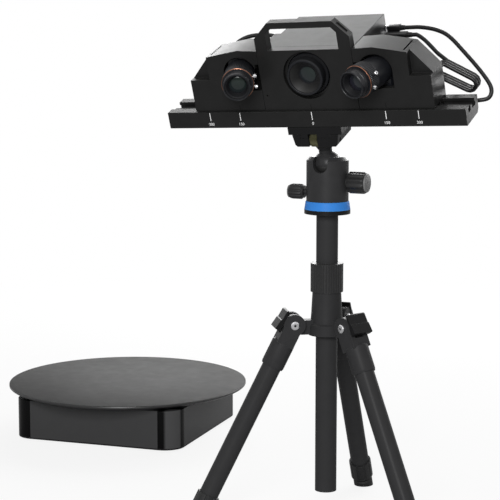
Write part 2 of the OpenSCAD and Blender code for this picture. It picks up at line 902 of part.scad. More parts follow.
// The front plate carries the handle over the casing
module front_plate() {
    slot = [18, 6];
    color("#2a2a2b")
        on_head() difference() {
            translate([0, 0, deck_z])
                upright(face_y, face_t) difference() {
                    face_outline();
                    grip_outline();
                }
            on_face() {
                translate([0, 0, -1]) cylinder(r = barrel_r + 1, h = face_t + 2);
                translate([0, 0, -1]) cylinder(r = barrel_r + 4, h = 8);
            }
            // index hole at the lower left
            translate([-face_w / 2 + 5.5, face_y - 1, deck_z + 19.8]) rotate([-90, 0, 0]) cylinder(r = 1.3, h = 8);
            // oval recess in the right chamfer
            translate([face_w / 2 - face_cut / 2, face_y + face_t / 2, deck_z + face_h - face_cut / 2])
                rotate([0, 45, 0])
                    translate([0, 0, -2.5]) linear_extrude(5) {
                        square([slot[0] - slot[1], slot[1]], center = true);
                        for (x = [-1, 1]) translate([x * (slot[0] - slot[1]) / 2, 0]) circle(slot[1] / 2);
                    }
        }
}

// The projector's axis in the head's frame, running back from the plate's face
module on_face() {
    translate([0, face_y, deck_z + lens_z]) rotate([-90, 0, 0]) children();
}

module casing_outline(inset) {
    half = face_w / 2 - inset;
    front = face_y + face_t;
    polygon([
        [-half, front], [half, front], [half, box_back], [-half + step_in, box_back],
        [-half + step_in, step_y - inset], [-half, step_y - inset]
    ]);
}

module projector_casing() {
    color("#343436")
        on_head() translate([0, 0, deck_z]) difference() {
            union() {
                linear_extrude(box_h) casing_outline(0);
                // the left cable's gland
                translate([-face_w / 2 + step_in, left_points[0][1], left_points[0][2]])
                    rotate([0, -90, 0]) cylinder(r = gland_r, h = gland_len);
            }
            translate([0, 0, box_wall]) linear_extrude(box_h - 2 * box_wall) {
                casing_outline(box_wall);
                translate([-face_w / 2 + step_in + box_wall, 0]) square([face_w - step_in - 2 * box_wall, box_back + 1]);
            }
        }
}

// Rear panel with cooling slots and the cable glands
module rear_panel() {
    half = face_w / 2 - box_wall - 0.2;
    wide = 2 * half - step_in;
    color("#303032")
        on_head() translate([-half + step_in, box_back - panel_t, deck_z + box_wall + 0.2]) difference() {
            union() {
                cube([wide, panel_t, box_h - 2 * box_wall - 0.4]);
                translate([half - step_in + 30, 0, loop_points[len(loop_points) - 1][2] - box_wall - 0.2])
                    rotate([-90, 0, 0]) cylinder(r = gland_r, h = panel_t + gland_len);
            }
            for (i = [0:6])
                translate([vent_first + i * vent_step, -1, vent_low]) cube([vent_w, panel_t + 2, vent_h]);
        }
}

module light_engine() {
    color("#77797c")
        on_head() {
            translate([-engine_left, engine_y, deck_z + box_wall]) cube([engine_w, engine_d, engine_h]);
            translate([-nose_left, engine_y + engine_d, deck_z + box_wall]) cube([nose_w, nose_d, nose_h]);
        }
}

module projector_lens() {
    front = -8;
    color("#1e1e20")
        on_head() on_face()
            rotate_extrude()
                polygon([
                    [barrel_r - 3, front], [barrel_r - edge, front], [barrel_r, front + edge],
                    [barrel_r, engine_y - face_y], [glass_r - 1.5, engine_y - face_y],
                    [glass_r - 1.5, front + funnel_deep + 4], [glass_r + 0.05, front + funnel_deep + 4],
                    [glass_r + 0.05, front + funnel_deep]
                ]);
}

module projector_glass() {
    front = -8;
    color("#5d6a78")
        on_head() on_face()
            rotate_extrude()
                polygon([
                    [0, front + funnel_deep - 1.5], [glass_r * 0.5, front + funnel_deep - 1],
                    [glass_r, front + funnel_deep + 0.6], [glass_r, front + funnel_deep + 4],
                    [0, front + funnel_deep + 4]
                ]);
}

// ---------------------------------------------------------------- cameras

module housing_outline() {
    polygon([
        [0, 0], [camera_w, 0], [camera_w, corner_z], [camera_w - corner_w, shoulder_up],
        [peak_x, camera_h], [0, inner_up]
    ]);
}

// A camera housing; its foot runs in the rail's slot behind the rib
module camera_housing(side) {
    foot_y = rib_y + rib_w / 2 + seat;
    foot_end = slot_w / 2 - seat;
    color("#2b2b2d")
        on_side(side) translate([housing_in, 0, deck_z + 0.2]) difference() {
            union() {
                upright(face_y, housing_d) housing_outline();
                rotate([90, 0, 90]) linear_extrude(camera_w)
                    polygon([
                        [foot_y, 1], [foot_y, -slot_deep + seat + 1], [foot_end + slot_under, -slot_deep + seat + 1],
                        [foot_end + slot_under, -slot_lip - seat - 0.4], [foot_end, -slot_lip - seat - 0.4],
                        [foot_end, 1]
                    ]);
                translate([gland_x - housing_in, rail_d / 2 - 1, gland_z - 0.2])
                    rotate([-90, 0, 0]) cylinder(r = gland_r, h = gland_len + 1);
            }
            // the stepped corner pocket
            upright(face_y - 1, pocket_deep + 1)
                polygon([
                    [camera_w - corner_w, corner_z], [camera_w + 1, corner_z], [camera_w + 1, shoulder_up + 9],
                    [camera_w - corner_w, shoulder_up + 9]
                ]);
            // the arched window around the lens, open to the middle
            upright(face_y - 1, front_wall + 2) {
                translate([camera_x - housing_in, camera_z - 0.2]) circle(window_r);
                translate([2, window_low]) square([camera_x - housing_in + window_r - 2, camera_z - window_low]);
            }
            upright(face_y - 1, housing_d + 1 - back_wall)
                translate([-1, window_low]) square([6, window_mouth - window_low]);
            // the room behind it
            upright(face_y + front_wall, housing_d - front_wall - back_wall)
                translate([4, window_low]) square([room_w - 4, inner_up - 5 - window_low]);
        }
}

// Sensor block on its foot and the lens barrel, turned towards the middle
module camera(side) {
    foot = camera_z - window_low - seat;
    color("#1a1a1c")
        on_lens(side) {
            translate([-block_w / 2, -camera_side / 2, block_at]) cube([block_w, foot + camera_side / 2, camera_len]);
            rotate([180, 0, 0]) difference() {
                union() {
                    translate([0, 0, -block_at - 1]) cylinder(r = lens_r, h = lens_reach - bezel_len + block_at + 2);
                    translate([0, 0, 1]) cylinder(r = lens_r + 1.2, h = collar_len - 1);
                    translate([0, 0, lens_reach - bezel_len]) cylinder(r = bezel_r, h = bezel_len);
                }
                translate([0, 0, lens_reach - 8]) cylinder(r1 = lens_r - 3, r2 = lens_r + 1, h = 8.01);
                translate([0, 0, lens_reach - 14]) cylinder(r = lens_r - 6, h = 15);
            }
        }
}

module focus_ring(side) {
    color("#222224")
        on_lens(side) rotate([180, 0, 0])
            translate([0, 0, collar_len + seat])
                difference() {
                    linear_extrude(ring_len) fluted(lens_r + 2.6, 40, 0.6);
                    translate([0, 0, -1]) cylinder(r = lens_r + run, h = ring_len + 2);
                }
}

module camera_glass(side) {
    color("#6a5a80")
        on_lens(side) rotate([180, 0, 0])
            translate([0, 0, lens_reach - 14])
                rotate_extrude()
                    polygon([
                        [0, 0], [lens_r - 6.05, 0], [lens_r - 6.05, 3.5], [(lens_r - 6) * 0.55, 4.6], [0, 5]
                    ]);
}

// ---------------------------------------------------------------- plugs and cables

module cable_plugs() {
    color("#1c1c1c")
        on_deck()
            for (i = [0, 1])
                translate([box_side + 0.1, plug_at[i][0] - plug_size[i][1] / 2, plug_at[i][1] - plug_size[i][2] / 2])
                    cube([plug_size[i][0] - 0.1, plug_size[i][1], plug_size[i][2]]);
}

module cord_loop() {
    color("#161616") on_deck() cord(curve(loop_points, 3), 8);
}

module cord_hank() {
    color("#161616") on_deck() cord(hank_points, 8);
}

module cord_left() {
    color("#161616") on_deck() cord(curve(left_points, 3), 8);
}

// ---------------------------------------------------------------- nodes

table_base();
table_bottom_cover();
table_feet();
table_disc();
table_spindle();
table_bearing();
table_motor();
table_pinion();
tripod_hub();
pivot_bolts();
column_collar();
centre_column();
for (i = [0:2]) {
    leg_fork(i);
    leg_tube(i);
    leg_latch(i);
    leg_lock(i);
    leg_lower(i);
    leg_foot(i);
}
pan_base();
pan_ring();
ball_housing();
ball_cup();
ball_stem();
main_knob();
pan_knob();
clamp_body();
clamp_jaw();
clamp_wheel();
dovetail_plate();
camera_rail();
front_plate();
projector_casing();
rear_panel();
projector_lens();
projector_glass();
light_engine();
camera_housing(-1);  // camera_housing_left
camera_housing(1);  // camera_housing_right
camera(-1);  // camera_left
camera(1);  // camera_right
focus_ring(-1);  // focus_ring_left
focus_ring(1);  // focus_ring_right
camera_glass(-1);  // camera_glass_left
camera_glass(1);  // camera_glass_right
cable_plugs();
cord_loop();
cord_hank();
cord_left();
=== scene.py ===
import json
from math import atan2, cos, hypot, pi, radians, sin, tau

import bmesh
import bpy
from bpy.props import FloatProperty, FloatVectorProperty, IntProperty, PointerProperty
from mathutils import Matrix, Vector
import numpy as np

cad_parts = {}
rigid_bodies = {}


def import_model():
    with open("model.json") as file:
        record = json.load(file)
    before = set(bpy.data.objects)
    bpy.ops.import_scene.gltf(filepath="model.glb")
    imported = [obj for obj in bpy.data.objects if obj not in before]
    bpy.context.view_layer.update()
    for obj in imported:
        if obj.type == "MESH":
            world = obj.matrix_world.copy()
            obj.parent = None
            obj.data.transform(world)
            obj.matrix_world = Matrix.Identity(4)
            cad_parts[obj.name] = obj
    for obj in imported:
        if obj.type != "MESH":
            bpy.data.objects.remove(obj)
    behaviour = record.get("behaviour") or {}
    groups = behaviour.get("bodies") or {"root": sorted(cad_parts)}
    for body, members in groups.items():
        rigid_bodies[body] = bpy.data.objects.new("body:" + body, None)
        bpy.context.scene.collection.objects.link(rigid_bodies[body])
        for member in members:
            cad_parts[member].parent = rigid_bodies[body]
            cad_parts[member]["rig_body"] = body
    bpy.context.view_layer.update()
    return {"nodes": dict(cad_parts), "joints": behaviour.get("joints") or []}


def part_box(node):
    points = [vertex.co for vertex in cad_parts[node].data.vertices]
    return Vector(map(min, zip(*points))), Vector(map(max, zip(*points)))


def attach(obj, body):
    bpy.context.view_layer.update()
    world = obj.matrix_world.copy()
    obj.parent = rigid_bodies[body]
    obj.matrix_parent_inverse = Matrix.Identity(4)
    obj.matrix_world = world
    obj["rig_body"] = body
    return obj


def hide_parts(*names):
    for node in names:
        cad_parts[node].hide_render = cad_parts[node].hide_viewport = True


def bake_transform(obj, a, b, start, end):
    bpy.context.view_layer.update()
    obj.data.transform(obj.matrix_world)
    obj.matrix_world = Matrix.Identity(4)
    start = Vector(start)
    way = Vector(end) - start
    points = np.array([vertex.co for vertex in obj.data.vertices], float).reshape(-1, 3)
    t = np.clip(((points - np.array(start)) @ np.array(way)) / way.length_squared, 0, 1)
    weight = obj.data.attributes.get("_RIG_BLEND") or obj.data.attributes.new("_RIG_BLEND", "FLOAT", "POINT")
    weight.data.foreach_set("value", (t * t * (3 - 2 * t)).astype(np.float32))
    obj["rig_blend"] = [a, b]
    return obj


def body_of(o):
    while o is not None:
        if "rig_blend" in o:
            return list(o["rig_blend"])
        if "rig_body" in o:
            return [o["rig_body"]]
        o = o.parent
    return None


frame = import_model()

bl_info = {
    "name": "Desktop 3D Scanner",
    "version": (1, 0, 0),
    "blender": (4, 5, 0),
    "location": "View3D > Sidebar > Scanner",
    "description": "Dresses a scan head on its tripod and a motor turntable",
    "category": "Object",
}

NODES = frame["nodes"]
JOINTS = {joint["name"]: joint for joint in frame["joints"]}


# ---------------------------------------------------------------- sizes and colours

def length(name, default, description):
    return FloatProperty(name=name, description=description, default=default, min=0.0, unit="LENGTH", precision=4)


def angle(name, default, description):
    return FloatProperty(name=name, description=description, default=radians(default), subtype="ANGLE")


def colour(name, default, description):
    return FloatVectorProperty(
        name=name, description=description, default=default, min=0.0, max=1.0, size=3, subtype="COLOR"
    )


class ScannerSizes(bpy.types.PropertyGroup):
    """Sizes that place the details on the solids, measured on the scan head's own axes."""

    head_pitch: angle("Forward tilt", 18.5, "How far the scan head leans forward at rest")
    head_roll: angle("Sideways tilt", 2.2, "How far the rail's right end is raised at rest")
    table_turn: angle("Base turn", 5.0, "How far the turntable's base is turned about its own axis")
    base_flat: length("Flat side", 0.105, "Half the width of the flat sides of the turntable's base")
    deck: length("Deck height", 0.082, "Height of the rail's top above the ball's centre")
    rail_depth: length("Rail depth", 0.05, "Depth of the rail")
    rail_height: length("Rail height", 0.022, "Height of the rail")
    face_front: length("Face set-back", 0.021, "Distance of the head's front face before the ball's centre")
    face_width: length("Face width", 0.126, "Width of the front plate")
    projector_height: length("Projector height", 0.0455, "Height of the projector's axis above the deck")
    projector_radius: length("Projector radius", 0.027, "Outer radius of the projector's barrel")
    camera_offset: length("Camera offset", 0.09, "Distance of a camera's axis from the middle, at its housing's face")
    camera_height: length("Camera height", 0.0485, "Height of the camera axes above the deck")
    camera_reach: length("Camera reach", 0.048, "How far a camera lens stands out of its housing")
    lens_radius: length("Lens radius", 0.018, "Radius of a camera's barrel")
    toe_in: angle("Toe-in", 18.0, "How far each camera turns towards the middle")
    cord_diameter: length("Cable diameter", 0.0054, "Diameter of the cables")
    casing_edge: length("Casing edge", 0.0006, "Width of the fine bevel on the casings' edges")
    small_edge: length("Small edge", 0.0004, "Width of the fine bevel on small parts")
    turning_steps: IntProperty(name="Turning steps", description="Faces round a turned part", default=96, min=24)


class ScannerColours(bpy.types.PropertyGroup):
    """Base colours of the finishes, linear."""

    casing: colour("Casing paint", (0.0115,) * 3, "Dark satin paint of the head")
    plate: colour("Plate paint", (0.008, 0.008, 0.0084), "Dark satin paint of the clamp and plates")
    casting: colour("Casting paint", (0.029, 0.029, 0.03), "Dark paint of the tripod's castings")
    tube: colour("Tube lacquer", (0.033, 0.033, 0.034), "Gloss lacquer of the tubes")
    knob: colour("Knob rubber", (0.018, 0.018, 0.0185), "Moulded knobs and locks")
    # End discs painted light grey: a painted highlight that stands in for the light from the right.
    knob_end: colour("Knob end", (0.15,) * 3, "End discs of the knobs, painted light as a highlight")
    ring: colour("Ring blue", (0.04, 0.21, 0.62), "Blue anodised pan ring")
    bolt: colour("Bolt metal", (0.62, 0.62, 0.63), "Bright screws and bolts")
    wheel: colour("Wheel olive", (0.05, 0.048, 0.02), "Olive anodised clamp wheel")
    lens: colour("Lens black", (0.007, 0.0075, 0.0095), "Blue-black lens barrels")
    copper: colour("Lens ring", (0.24, 0.115, 0.075), "Pink copper ring in a camera lens")
    glass: colour("Coated glass", (0.011, 0.019, 0.016), "Coated front glass")
    disc: colour("Disc grey", (0.03,) * 3, "Grey top of the turning disc")
    base: colour("Base grey", (0.05, 0.05, 0.051), "Glossy face of the turntable's base")
    cable: colour("Cable black", (0.003, 0.003, 0.0032), "Cable jacket")
    rubber: colour("Foot rubber", (0.012,) * 3, "Rubber feet and pads")
    steel: colour("Steel", (0.42, 0.42, 0.43), "Turned steel")
    brass: colour("Brass", (0.52, 0.36, 0.13), "Brass pinion")
    liner: colour("Cup liner", (0.006,) * 3, "Black plastic cup round the ball")
    engine: colour("Light engine", (0.18, 0.185, 0.19), "Projector module in the casing")
    marking: colour("Marking white", (0.8,) * 3, "Printed scale")
    floor: colour("Floor", (0.86,) * 3, "Pale studio floor")


def sizes():
    return bpy.context.scene.scanner_sizes


def tints():
    return bpy.context.scene.scanner_colours


# ---------------------------------------------------------------- places

FRONTWARD = Matrix.Rotation(radians(90), 4, "X")  # turns +Z to the front
SIDEWAYS = Matrix.Rotation(radians(90), 4, "Y")  # turns +Z to the right
CAMERAS = ((-1, "left"), (1, "right"))


def middle(node):
    """The middle of a node's box."""
    low, high = (Vector(corner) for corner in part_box(node))
    return (low + high) / 2


def head_place():
    """The head's own axes, from the ball's centre."""
    ball = Vector(JOINTS["head_pitch"]["pos_m"])
    tilt = Matrix.Rotation(-sizes().head_roll, 4, "Y") @ Matrix.Rotation(sizes().head_pitch, 4, "X")
    return Matrix.Translation(ball) @ tilt


def deck_place():
    """The head's axes with their origin on the rail's top."""
    return head_place() @ Matrix.Translation((0, 0, sizes().deck))


def lens_place(side):
    """A camera's axes, its lens axis along +Z out of the housing; side 1 is the right camera."""
    size = sizes()
    mirror = Matrix.Diagonal((side, 1, 1, 1))
    place = Matrix.Translation((size.camera_offset, -size.face_front, size.camera_height))
    turn = Matrix.Rotation(-size.toe_in, 4, "Z") @ FRONTWARD
    return deck_place() @ mirror @ place @ turn


def projector_place():
    """The projector's axes, its lens axis along +Z out of the front plate."""
    size = sizes()
    place = Matrix.Translation((0, -size.face_front, size.projector_height))
    return deck_place() @ place @ FRONTWARD


def table_place():
    """The turntable's axis on the floor, turned as its base is."""
    axis = middle("table_disc")
    return Matrix.Translation((axis.x, axis.y, 0)) @ Matrix.Rotation(sizes().table_turn, 4, "Z")


# ---------------------------------------------------------------- shader groups

def feed(tree, socket, value):
    """Links a socket to another one, or sets its value."""
    if isinstance(value, bpy.types.NodeSocket):
        tree.links.new(value, socket)
    else:
        socket.default_value = value


def settle(tree, node, **settings):
    """Feeds the node's sockets that settings are named like, and sets the others on the node itself."""
    for key, value in settings.items():
        socket = next((s for s in node.inputs if s.name.lower() == key.replace("_", " ").lower()), None)
        if socket is None:
            setattr(node, key, value)
        else:
            feed(tree, socket, value)


def put(tree, kind, **settings):
    """A new shader node with its settings."""
    node = tree.nodes.new("ShaderNode" + kind)
    settle(tree, node, **settings)
    return node


def maths(tree, operation, first, second=None, clamp=False):
    node = put(tree, "Math", operation=operation, use_clamp=clamp)
    for socket, value in zip(node.inputs, (first,) if second is None else (first, second)):
        feed(tree, socket, value)
    return node.outputs[0]


def new_group(name, numbers, results):
    """A shader group with a vector and numbers in and results out; returns the tree, its inputs and its end."""
    tree = bpy.data.node_groups.new(name, "ShaderNodeTree")
    tree.interface.new_socket(name="Vector", in_out="INPUT", socket_type="NodeSocketVector")
    for label, default in numbers.items():
        socket = tree.interface.new_socket(name=label, in_out="INPUT", socket_type="NodeSocketFloat")
        socket.default_value = default
    for label in results:
        tree.interface.new_socket(name=label, in_out="OUTPUT", socket_type="NodeSocketFloat")
    return tree, tree.nodes.new("NodeGroupInput").outputs, tree.nodes.new("NodeGroupOutput")


def grain_group():
    """Fine moulded or painted grain: a height for bump and a slow mottle for colour and gloss."""
    tree, given, out = new_group("Surface Grain", {"Scale": 1500.0, "Mottle Scale": 60.0}, ("Height", "Mottle"))
    fine = put(tree, "TexNoise", vector=given["Vector"], scale=given["Scale"], detail=2.0)
    cells = put(tree, "TexVoronoi", vector=given["Vector"], scale=given["Scale"])
    slow = put(tree, "TexNoise", vector=given["Vector"], scale=given["Mottle Scale"], detail=4.0)
    height = maths(tree, "ADD", maths(tree, "MULTIPLY", fine.outputs["Fac"], 0.6), cells.outputs["Distance"])
    settle(tree, out, height=height, mottle=slow.outputs["Fac"])
    return tree


def wear_and_highlight_group():
    """Edge mask for rubbed wear and for painted highlight on the edges: where the rounded normal departs from the true
    one, broken up by noise.
    """
    tree, given, out = new_group("Edge Wear", {"Radius": 0.0006, "Amount": 0.5}, ("Mask",))
    bevel = put(tree, "Bevel", samples=4, radius=given["Radius"])
    true = put(tree, "NewGeometry")
    match = put(tree, "VectorMath", operation="DOT_PRODUCT")
    tree.links.new(bevel.outputs["Normal"], match.inputs[0])
    tree.links.new(true.outputs["Normal"], match.inputs[1])
    edge = maths(tree, "SUBTRACT", 1.0, match.outputs["Value"])
    noise = put(tree, "TexNoise", vector=given["Vector"], scale=220.0, detail=3.0)
    broken = maths(tree, "MULTIPLY", edge, maths(tree, "ADD", noise.outputs["Fac"], 0.3))
    settle(tree, out, mask=maths(tree, "MULTIPLY", maths(tree, "MULTIPLY", broken, 4.0), given["Amount"], clamp=True))
    return tree


def dust_group():
    """Thin dust on faces that look up."""
    tree, given, out = new_group("Thin Dust", {"Amount": 0.05}, ("Mask",))
    axes = put(tree, "SeparateXYZ", vector=put(tree, "NewGeometry").outputs["Normal"])
    up = maths(tree, "MAXIMUM", axes.outputs["Z"], 0.0)
    noise = put(tree, "TexNoise", vector=given["Vector"], scale=90.0, detail=5.0)
    settle(tree, out, mask=maths(tree, "MULTIPLY", maths(tree, "MULTIPLY", up, noise.outputs["Fac"]), given["Amount"]))
    return tree


GROUP_MAKERS = {"Surface Grain": grain_group, "Edge Wear": wear_and_highlight_group, "Thin Dust": dust_group}


def use_group(tree, name, **values):
    """The named group placed in a material, made the first time that it is asked for."""
    node = put(tree, "Group", node_tree=bpy.data.node_groups.get(name) or GROUP_MAKERS[name]())
    settle(tree, node, **values)
    return node


# ---------------------------------------------------------------- materials

def mix_colour(tree, factor, first, second):
    node = put(tree, "Mix", data_type="RGBA")
    for name, kind, value in (("Factor", "VALUE", factor), ("A", "RGBA", first), ("B", "RGBA", second)):
        feed(tree, next(s for s in node.inputs if s.name == name and s.type == kind), value)
    return next(s for s in node.outputs if s.type == "RGBA")


def rgba(values, gain=1.0):
    return tuple(min(1.0, v * gain) for v in values[:3]) + (1.0,)


DUST = (0.42, 0.41, 0.39, 1.0)
RIM_VIOLET = (0.035, 0.02, 0.05, 1.0)
RELIEF = 0.0004  # depth of the grain
GLOSS_SPREAD = 0.16  # how far the mottle changes the roughness
CORNER_PAINTED_REFLECTION = (0.009, 0.013)  # where a painted reflection turns a right corner of the base light, past its flat sides
FOOT_LINE = 0.0025  # height of the base's dark foot


def new_material(name):
    """A new material, its tree and its Principled shader."""
    material = bpy.data.materials.new(name)
    material.use_nodes = True
    return material, material.node_tree, material.node_tree.nodes["Principled BSDF"]


def finish_of(name, tint, share=1.0, rough=0.35, grain=1600.0, bump=0.02, mottle=0.25, wear=0.3, dust=0.02,
              metal=0.0, specular=0.5):
    """A painted, moulded or metal finish over one colour: grain, mottle, thin dust, and edges lightened partly as
    rubbed wear and partly as painted highlight.
    """
    shade = rgba(getattr(tints(), tint), share)
    material, tree, shader = new_material(name)
    place = put(tree, "TexCoord").outputs["Object"]
    surface = use_group(tree, "Surface Grain", vector=place, scale=grain)
    worn_and_highlit = use_group(tree, "Edge Wear", vector=place, amount=wear)
    dusty = use_group(tree, "Thin Dust", vector=place, amount=dust)
    painted = mix_colour(tree, surface.outputs["Mottle"], rgba(shade, 1 - mottle / 2), rgba(shade, 1 + mottle))
    # Edges lightened towards three times the colour: rubbed wear and painted edge highlight together.
    rubbed_and_highlit = mix_colour(tree, worn_and_highlit.outputs["Mask"], painted, rgba([v * 3 + 0.04 for v in shade]))
    spread = maths(tree, "MULTIPLY", maths(tree, "SUBTRACT", surface.outputs["Mottle"], 0.5), GLOSS_SPREAD)
    relief = put(tree, "Bump", strength=bump, distance=RELIEF, height=surface.outputs["Height"])
    settle(
        tree, shader, base_color=mix_colour(tree, dusty.outputs["Mask"], rubbed_and_highlit, DUST),
        roughness=maths(tree, "ADD", spread, rough, clamp=True), normal=relief.outputs["Normal"], metallic=metal,
        specular_ior_level=specular,
    )
    return material


FINISHES = {  # material's name, colour and the settings that differ from finish_of's
    "casing": ("casing satin paint", "casing", dict(rough=0.33, specular=0.16)),
    "plate": ("plate satin paint", "plate", dict(rough=0.34, bump=0.04, specular=0.12)),
    "ball head": ("ball head paint", "casting", dict(rough=0.32, bump=0.04, specular=0.1)),
    "latch": ("latch paint", "plate", dict(rough=0.4, bump=0.05, specular=0.08)),
    "casting": ("casting paint", "casting", dict(rough=0.4, grain=1100.0, bump=0.06, specular=0.05)),
    "tube": ("tube lacquer", "tube", dict(rough=0.3, bump=0.01, mottle=0.1, wear=0.1, specular=0.03)),
    "knob": ("knob rubber", "knob", dict(rough=0.42, grain=1300.0, bump=0.08, specular=0.2)),
    # Light grey end discs of the knobs: painted highlight.
    "knob end": ("knob end metal", "knob_end", dict(rough=0.45, specular=0.2)),
    "ring": ("ring blue anodising", "ring", dict(rough=0.4, mottle=0.12, specular=0.05)),
    "bolt": ("bolt metal", "bolt", dict(rough=0.24, bump=0.03, metal=1.0)),
    "wheel": ("wheel olive anodising", "wheel", dict(rough=0.4, bump=0.04, metal=0.5, wear=0.8)),
    "barrel": ("lens barrel black", "lens", dict(rough=0.34, bump=0.03, wear=0.2, specular=0.28)),
    "lens inside": ("lens inside black", "lens", dict(share=0.5, rough=0.6, bump=0.05, wear=0.0, specular=0.2)),
    "funnel": ("funnel satin black", "casing", dict(rough=0.42, bump=0.03, wear=0.0, specular=0.3)),
    "copper": ("lens copper ring", "copper", dict(rough=0.22, bump=0.01, metal=1.0, wear=0.0, dust=0.0)),
    "disc": ("disc satin grey", "disc", dict(rough=0.55, grain=900.0, bump=0.03, mottle=0.06, specular=0.04)),
    "disc edge": ("disc edge black", "plate", dict(rough=0.3)),
    "cover": ("cover moulding", "rubber", dict(rough=0.5, bump=0.08, specular=0.3)),
    "foot": ("foot rubber", "rubber", dict(rough=0.62, grain=900.0, bump=0.12, wear=0.4, specular=0.25)),
    "steel": ("turned steel", "steel", dict(rough=0.3, bump=0.04, metal=1.0)),
    "brass": ("brass", "brass", dict(rough=0.32, bump=0.03, metal=1.0)),
    "liner": ("cup liner", "liner", dict(rough=0.5)),
    "engine": ("engine casting", "engine", dict(rough=0.45, metal=0.4)),
    "marking": ("marking white", "marking", dict(rough=0.5, mottle=0.06, wear=0.0, dust=0.0, bump=0.0)),
    # Near-black for printed index lines and ports, and painted shade in the sockets of bolts and screws.
    "port": ("port black", "casing", dict(share=0.2, rough=0.6, wear=0.0, dust=0.0, specular=0.2)),
    "cable": ("cable jacket", "cable", dict(grain=2200.0, rough=0.36, bump=0.05, wear=0.0, specular=0.3)),
    "gloss": ("base gloss", "base", dict(rough=0.14, bump=0.004, mottle=0.06, wear=0.1, dust=0.01, specular=0.08)),
}


def finish(key):
    """The named finish as a material, made the first time that it is asked for."""
    name, tint, settings = FINISHES[key]
    return bpy.data.materials.get(name) or finish_of(name, tint, **settings)


def coated_glass():
    """Front glass over a dark lens: an anti-reflex coating that turns green to violet at the rim."""
    name = "coated glass"
    if name in bpy.data.materials:
        return bpy.data.materials[name]
    material, tree, shader = new_material(name)
    view = put(tree, "LayerWeight", blend=0.35)
    tint = mix_colour(tree, view.outputs["Facing"], rgba(tints().glass), RIM_VIOLET)
    settle(
        tree, shader, base_color=tint, metallic=0.1, roughness=0.05, specular_ior_level=0.3, coat_weight=0.2,
        coat_roughness=0.02,
    )
    return material


def base_gloss():
    """Glossy base casing: grey flat sides and black corners on a dark foot; the right corners carry a painted
    reflection, a lighter grey band in their middle.
    """
    material = finish("gloss")
    tree = material.node_tree
    shader = tree.nodes["Principled BSDF"]
    faces = shader.inputs["Base Color"].links[0].from_socket
    local = put(tree, "Mapping", vector_type="TEXTURE", vector=put(tree, "TexCoord").outputs["Object"],
                location=table_place().translation, rotation=(0, 0, sizes().table_turn))
    axes = put(tree, "SeparateXYZ", vector=local.outputs["Vector"])
    across = maths(tree, "ABSOLUTE", axes.outputs["X"])
    along = maths(tree, "ABSOLUTE", axes.outputs["Y"])
    nearer = maths(tree, "SUBTRACT", maths(tree, "MINIMUM", across, along), sizes().base_flat)
    corner = maths(tree, "GREATER_THAN", nearer, 0.0)
    posts = mix_colour(tree, corner, faces, rgba(tints().plate, 0.4))
    # Painted reflection: a lighter band across each right corner, where the light from the right would be mirrored.
    painted_reflection = put(tree, "MapRange", value=nearer, from_min=CORNER_PAINTED_REFLECTION[0], from_max=CORNER_PAINTED_REFLECTION[1])
    right = maths(tree, "GREATER_THAN", axes.outputs["X"], 0.0)
    share = maths(tree, "MULTIPLY", painted_reflection.outputs["Result"], right)
    posts = mix_colour(tree, share, posts, rgba(tints().base, 1.3))
    foot = maths(tree, "LESS_THAN", axes.outputs["Z"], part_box("table_base")[0][2] + FOOT_LINE)
    tree.links.new(mix_colour(tree, foot, posts, rgba(tints().tube, 0.5)), shader.inputs["Base Color"])
    return material


# ---------------------------------------------------------------- mesh tools

def added(name, data):
    """A new object in the scene."""
    thing = bpy.data.objects.new(name, data)
    bpy.context.scene.collection.objects.link(thing)
    return thing


def finished(name, mesh_data, materials, body, nodes=(), sharp=32.0):
    """Turns a bmesh into a piece that rides on a body, where it names one, and stands for CAD nodes."""
    bmesh.ops.remove_doubles(mesh_data, verts=mesh_data.verts, dist=1e-6)
    bmesh.ops.recalc_face_normals(mesh_data, faces=mesh_data.faces)
    limit = radians(sharp)
    for edge in mesh_data.edges:
        edge.smooth = not (edge.is_manifold and edge.calc_face_angle(0.0) > limit)
    for face in mesh_data.faces:
        face.smooth = True
    mesh = bpy.data.meshes.new(name)
    mesh_data.to_mesh(mesh)
    mesh_data.free()
    for material in materials:
        mesh.materials.append(material)
    piece = added(name, mesh)
    if body:
        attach(piece, body)
    if nodes:
        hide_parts(*nodes)
    return piece


def turned(mesh_data, profile, place, steps=None, flutes=0, flute_depth=0.0, flute_zone=None):
    """Spins a closed (radius, height, material) profile round +Z, with grooves in a zone of heights."""
    steps = steps or sizes().turning_steps
    verts = [mesh_data.verts.new((radius, 0, height)) for radius, height, material in profile]
    loop = verts + verts[:1]
    edges = [mesh_data.edges.new(pair) for pair in zip(loop, loop[1:])]
    before = set(mesh_data.faces)
    bmesh.ops.spin(
        mesh_data, geom=verts + edges, cent=(0, 0, 0), axis=(0, 0, 1), angle=tau, steps=steps,
        use_merge=True, use_duplicate=False,
    )
    faces = [face for face in mesh_data.faces if face not in before]
    middles = [
        ((a[0] + b[0]) / 2, (a[1] + b[1]) / 2, a[2]) for a, b in zip(profile, profile[1:] + profile[:1])
    ]
    for face in faces:
        spot = face.calc_center_median()
        reach = hypot(spot.x, spot.y)
        face.material_index = min(middles, key=lambda m: (m[0] - reach) ** 2 + (m[1] - spot.z) ** 2)[2]
    moved = {vert for face in faces for vert in face.verts}
    if flutes:
        low, high, least = flute_zone
        for vert in moved:
            reach = hypot(vert.co.x, vert.co.y)
            if low <= vert.co.z <= high and reach >= least:
                wave = 0.5 - 0.5 * cos(flutes * atan2(vert.co.y, vert.co.x))
                vert.co.xy = vert.co.xy * (1 - flute_depth * wave / reach)
    bmesh.ops.transform(mesh_data, matrix=place, verts=list(moved))


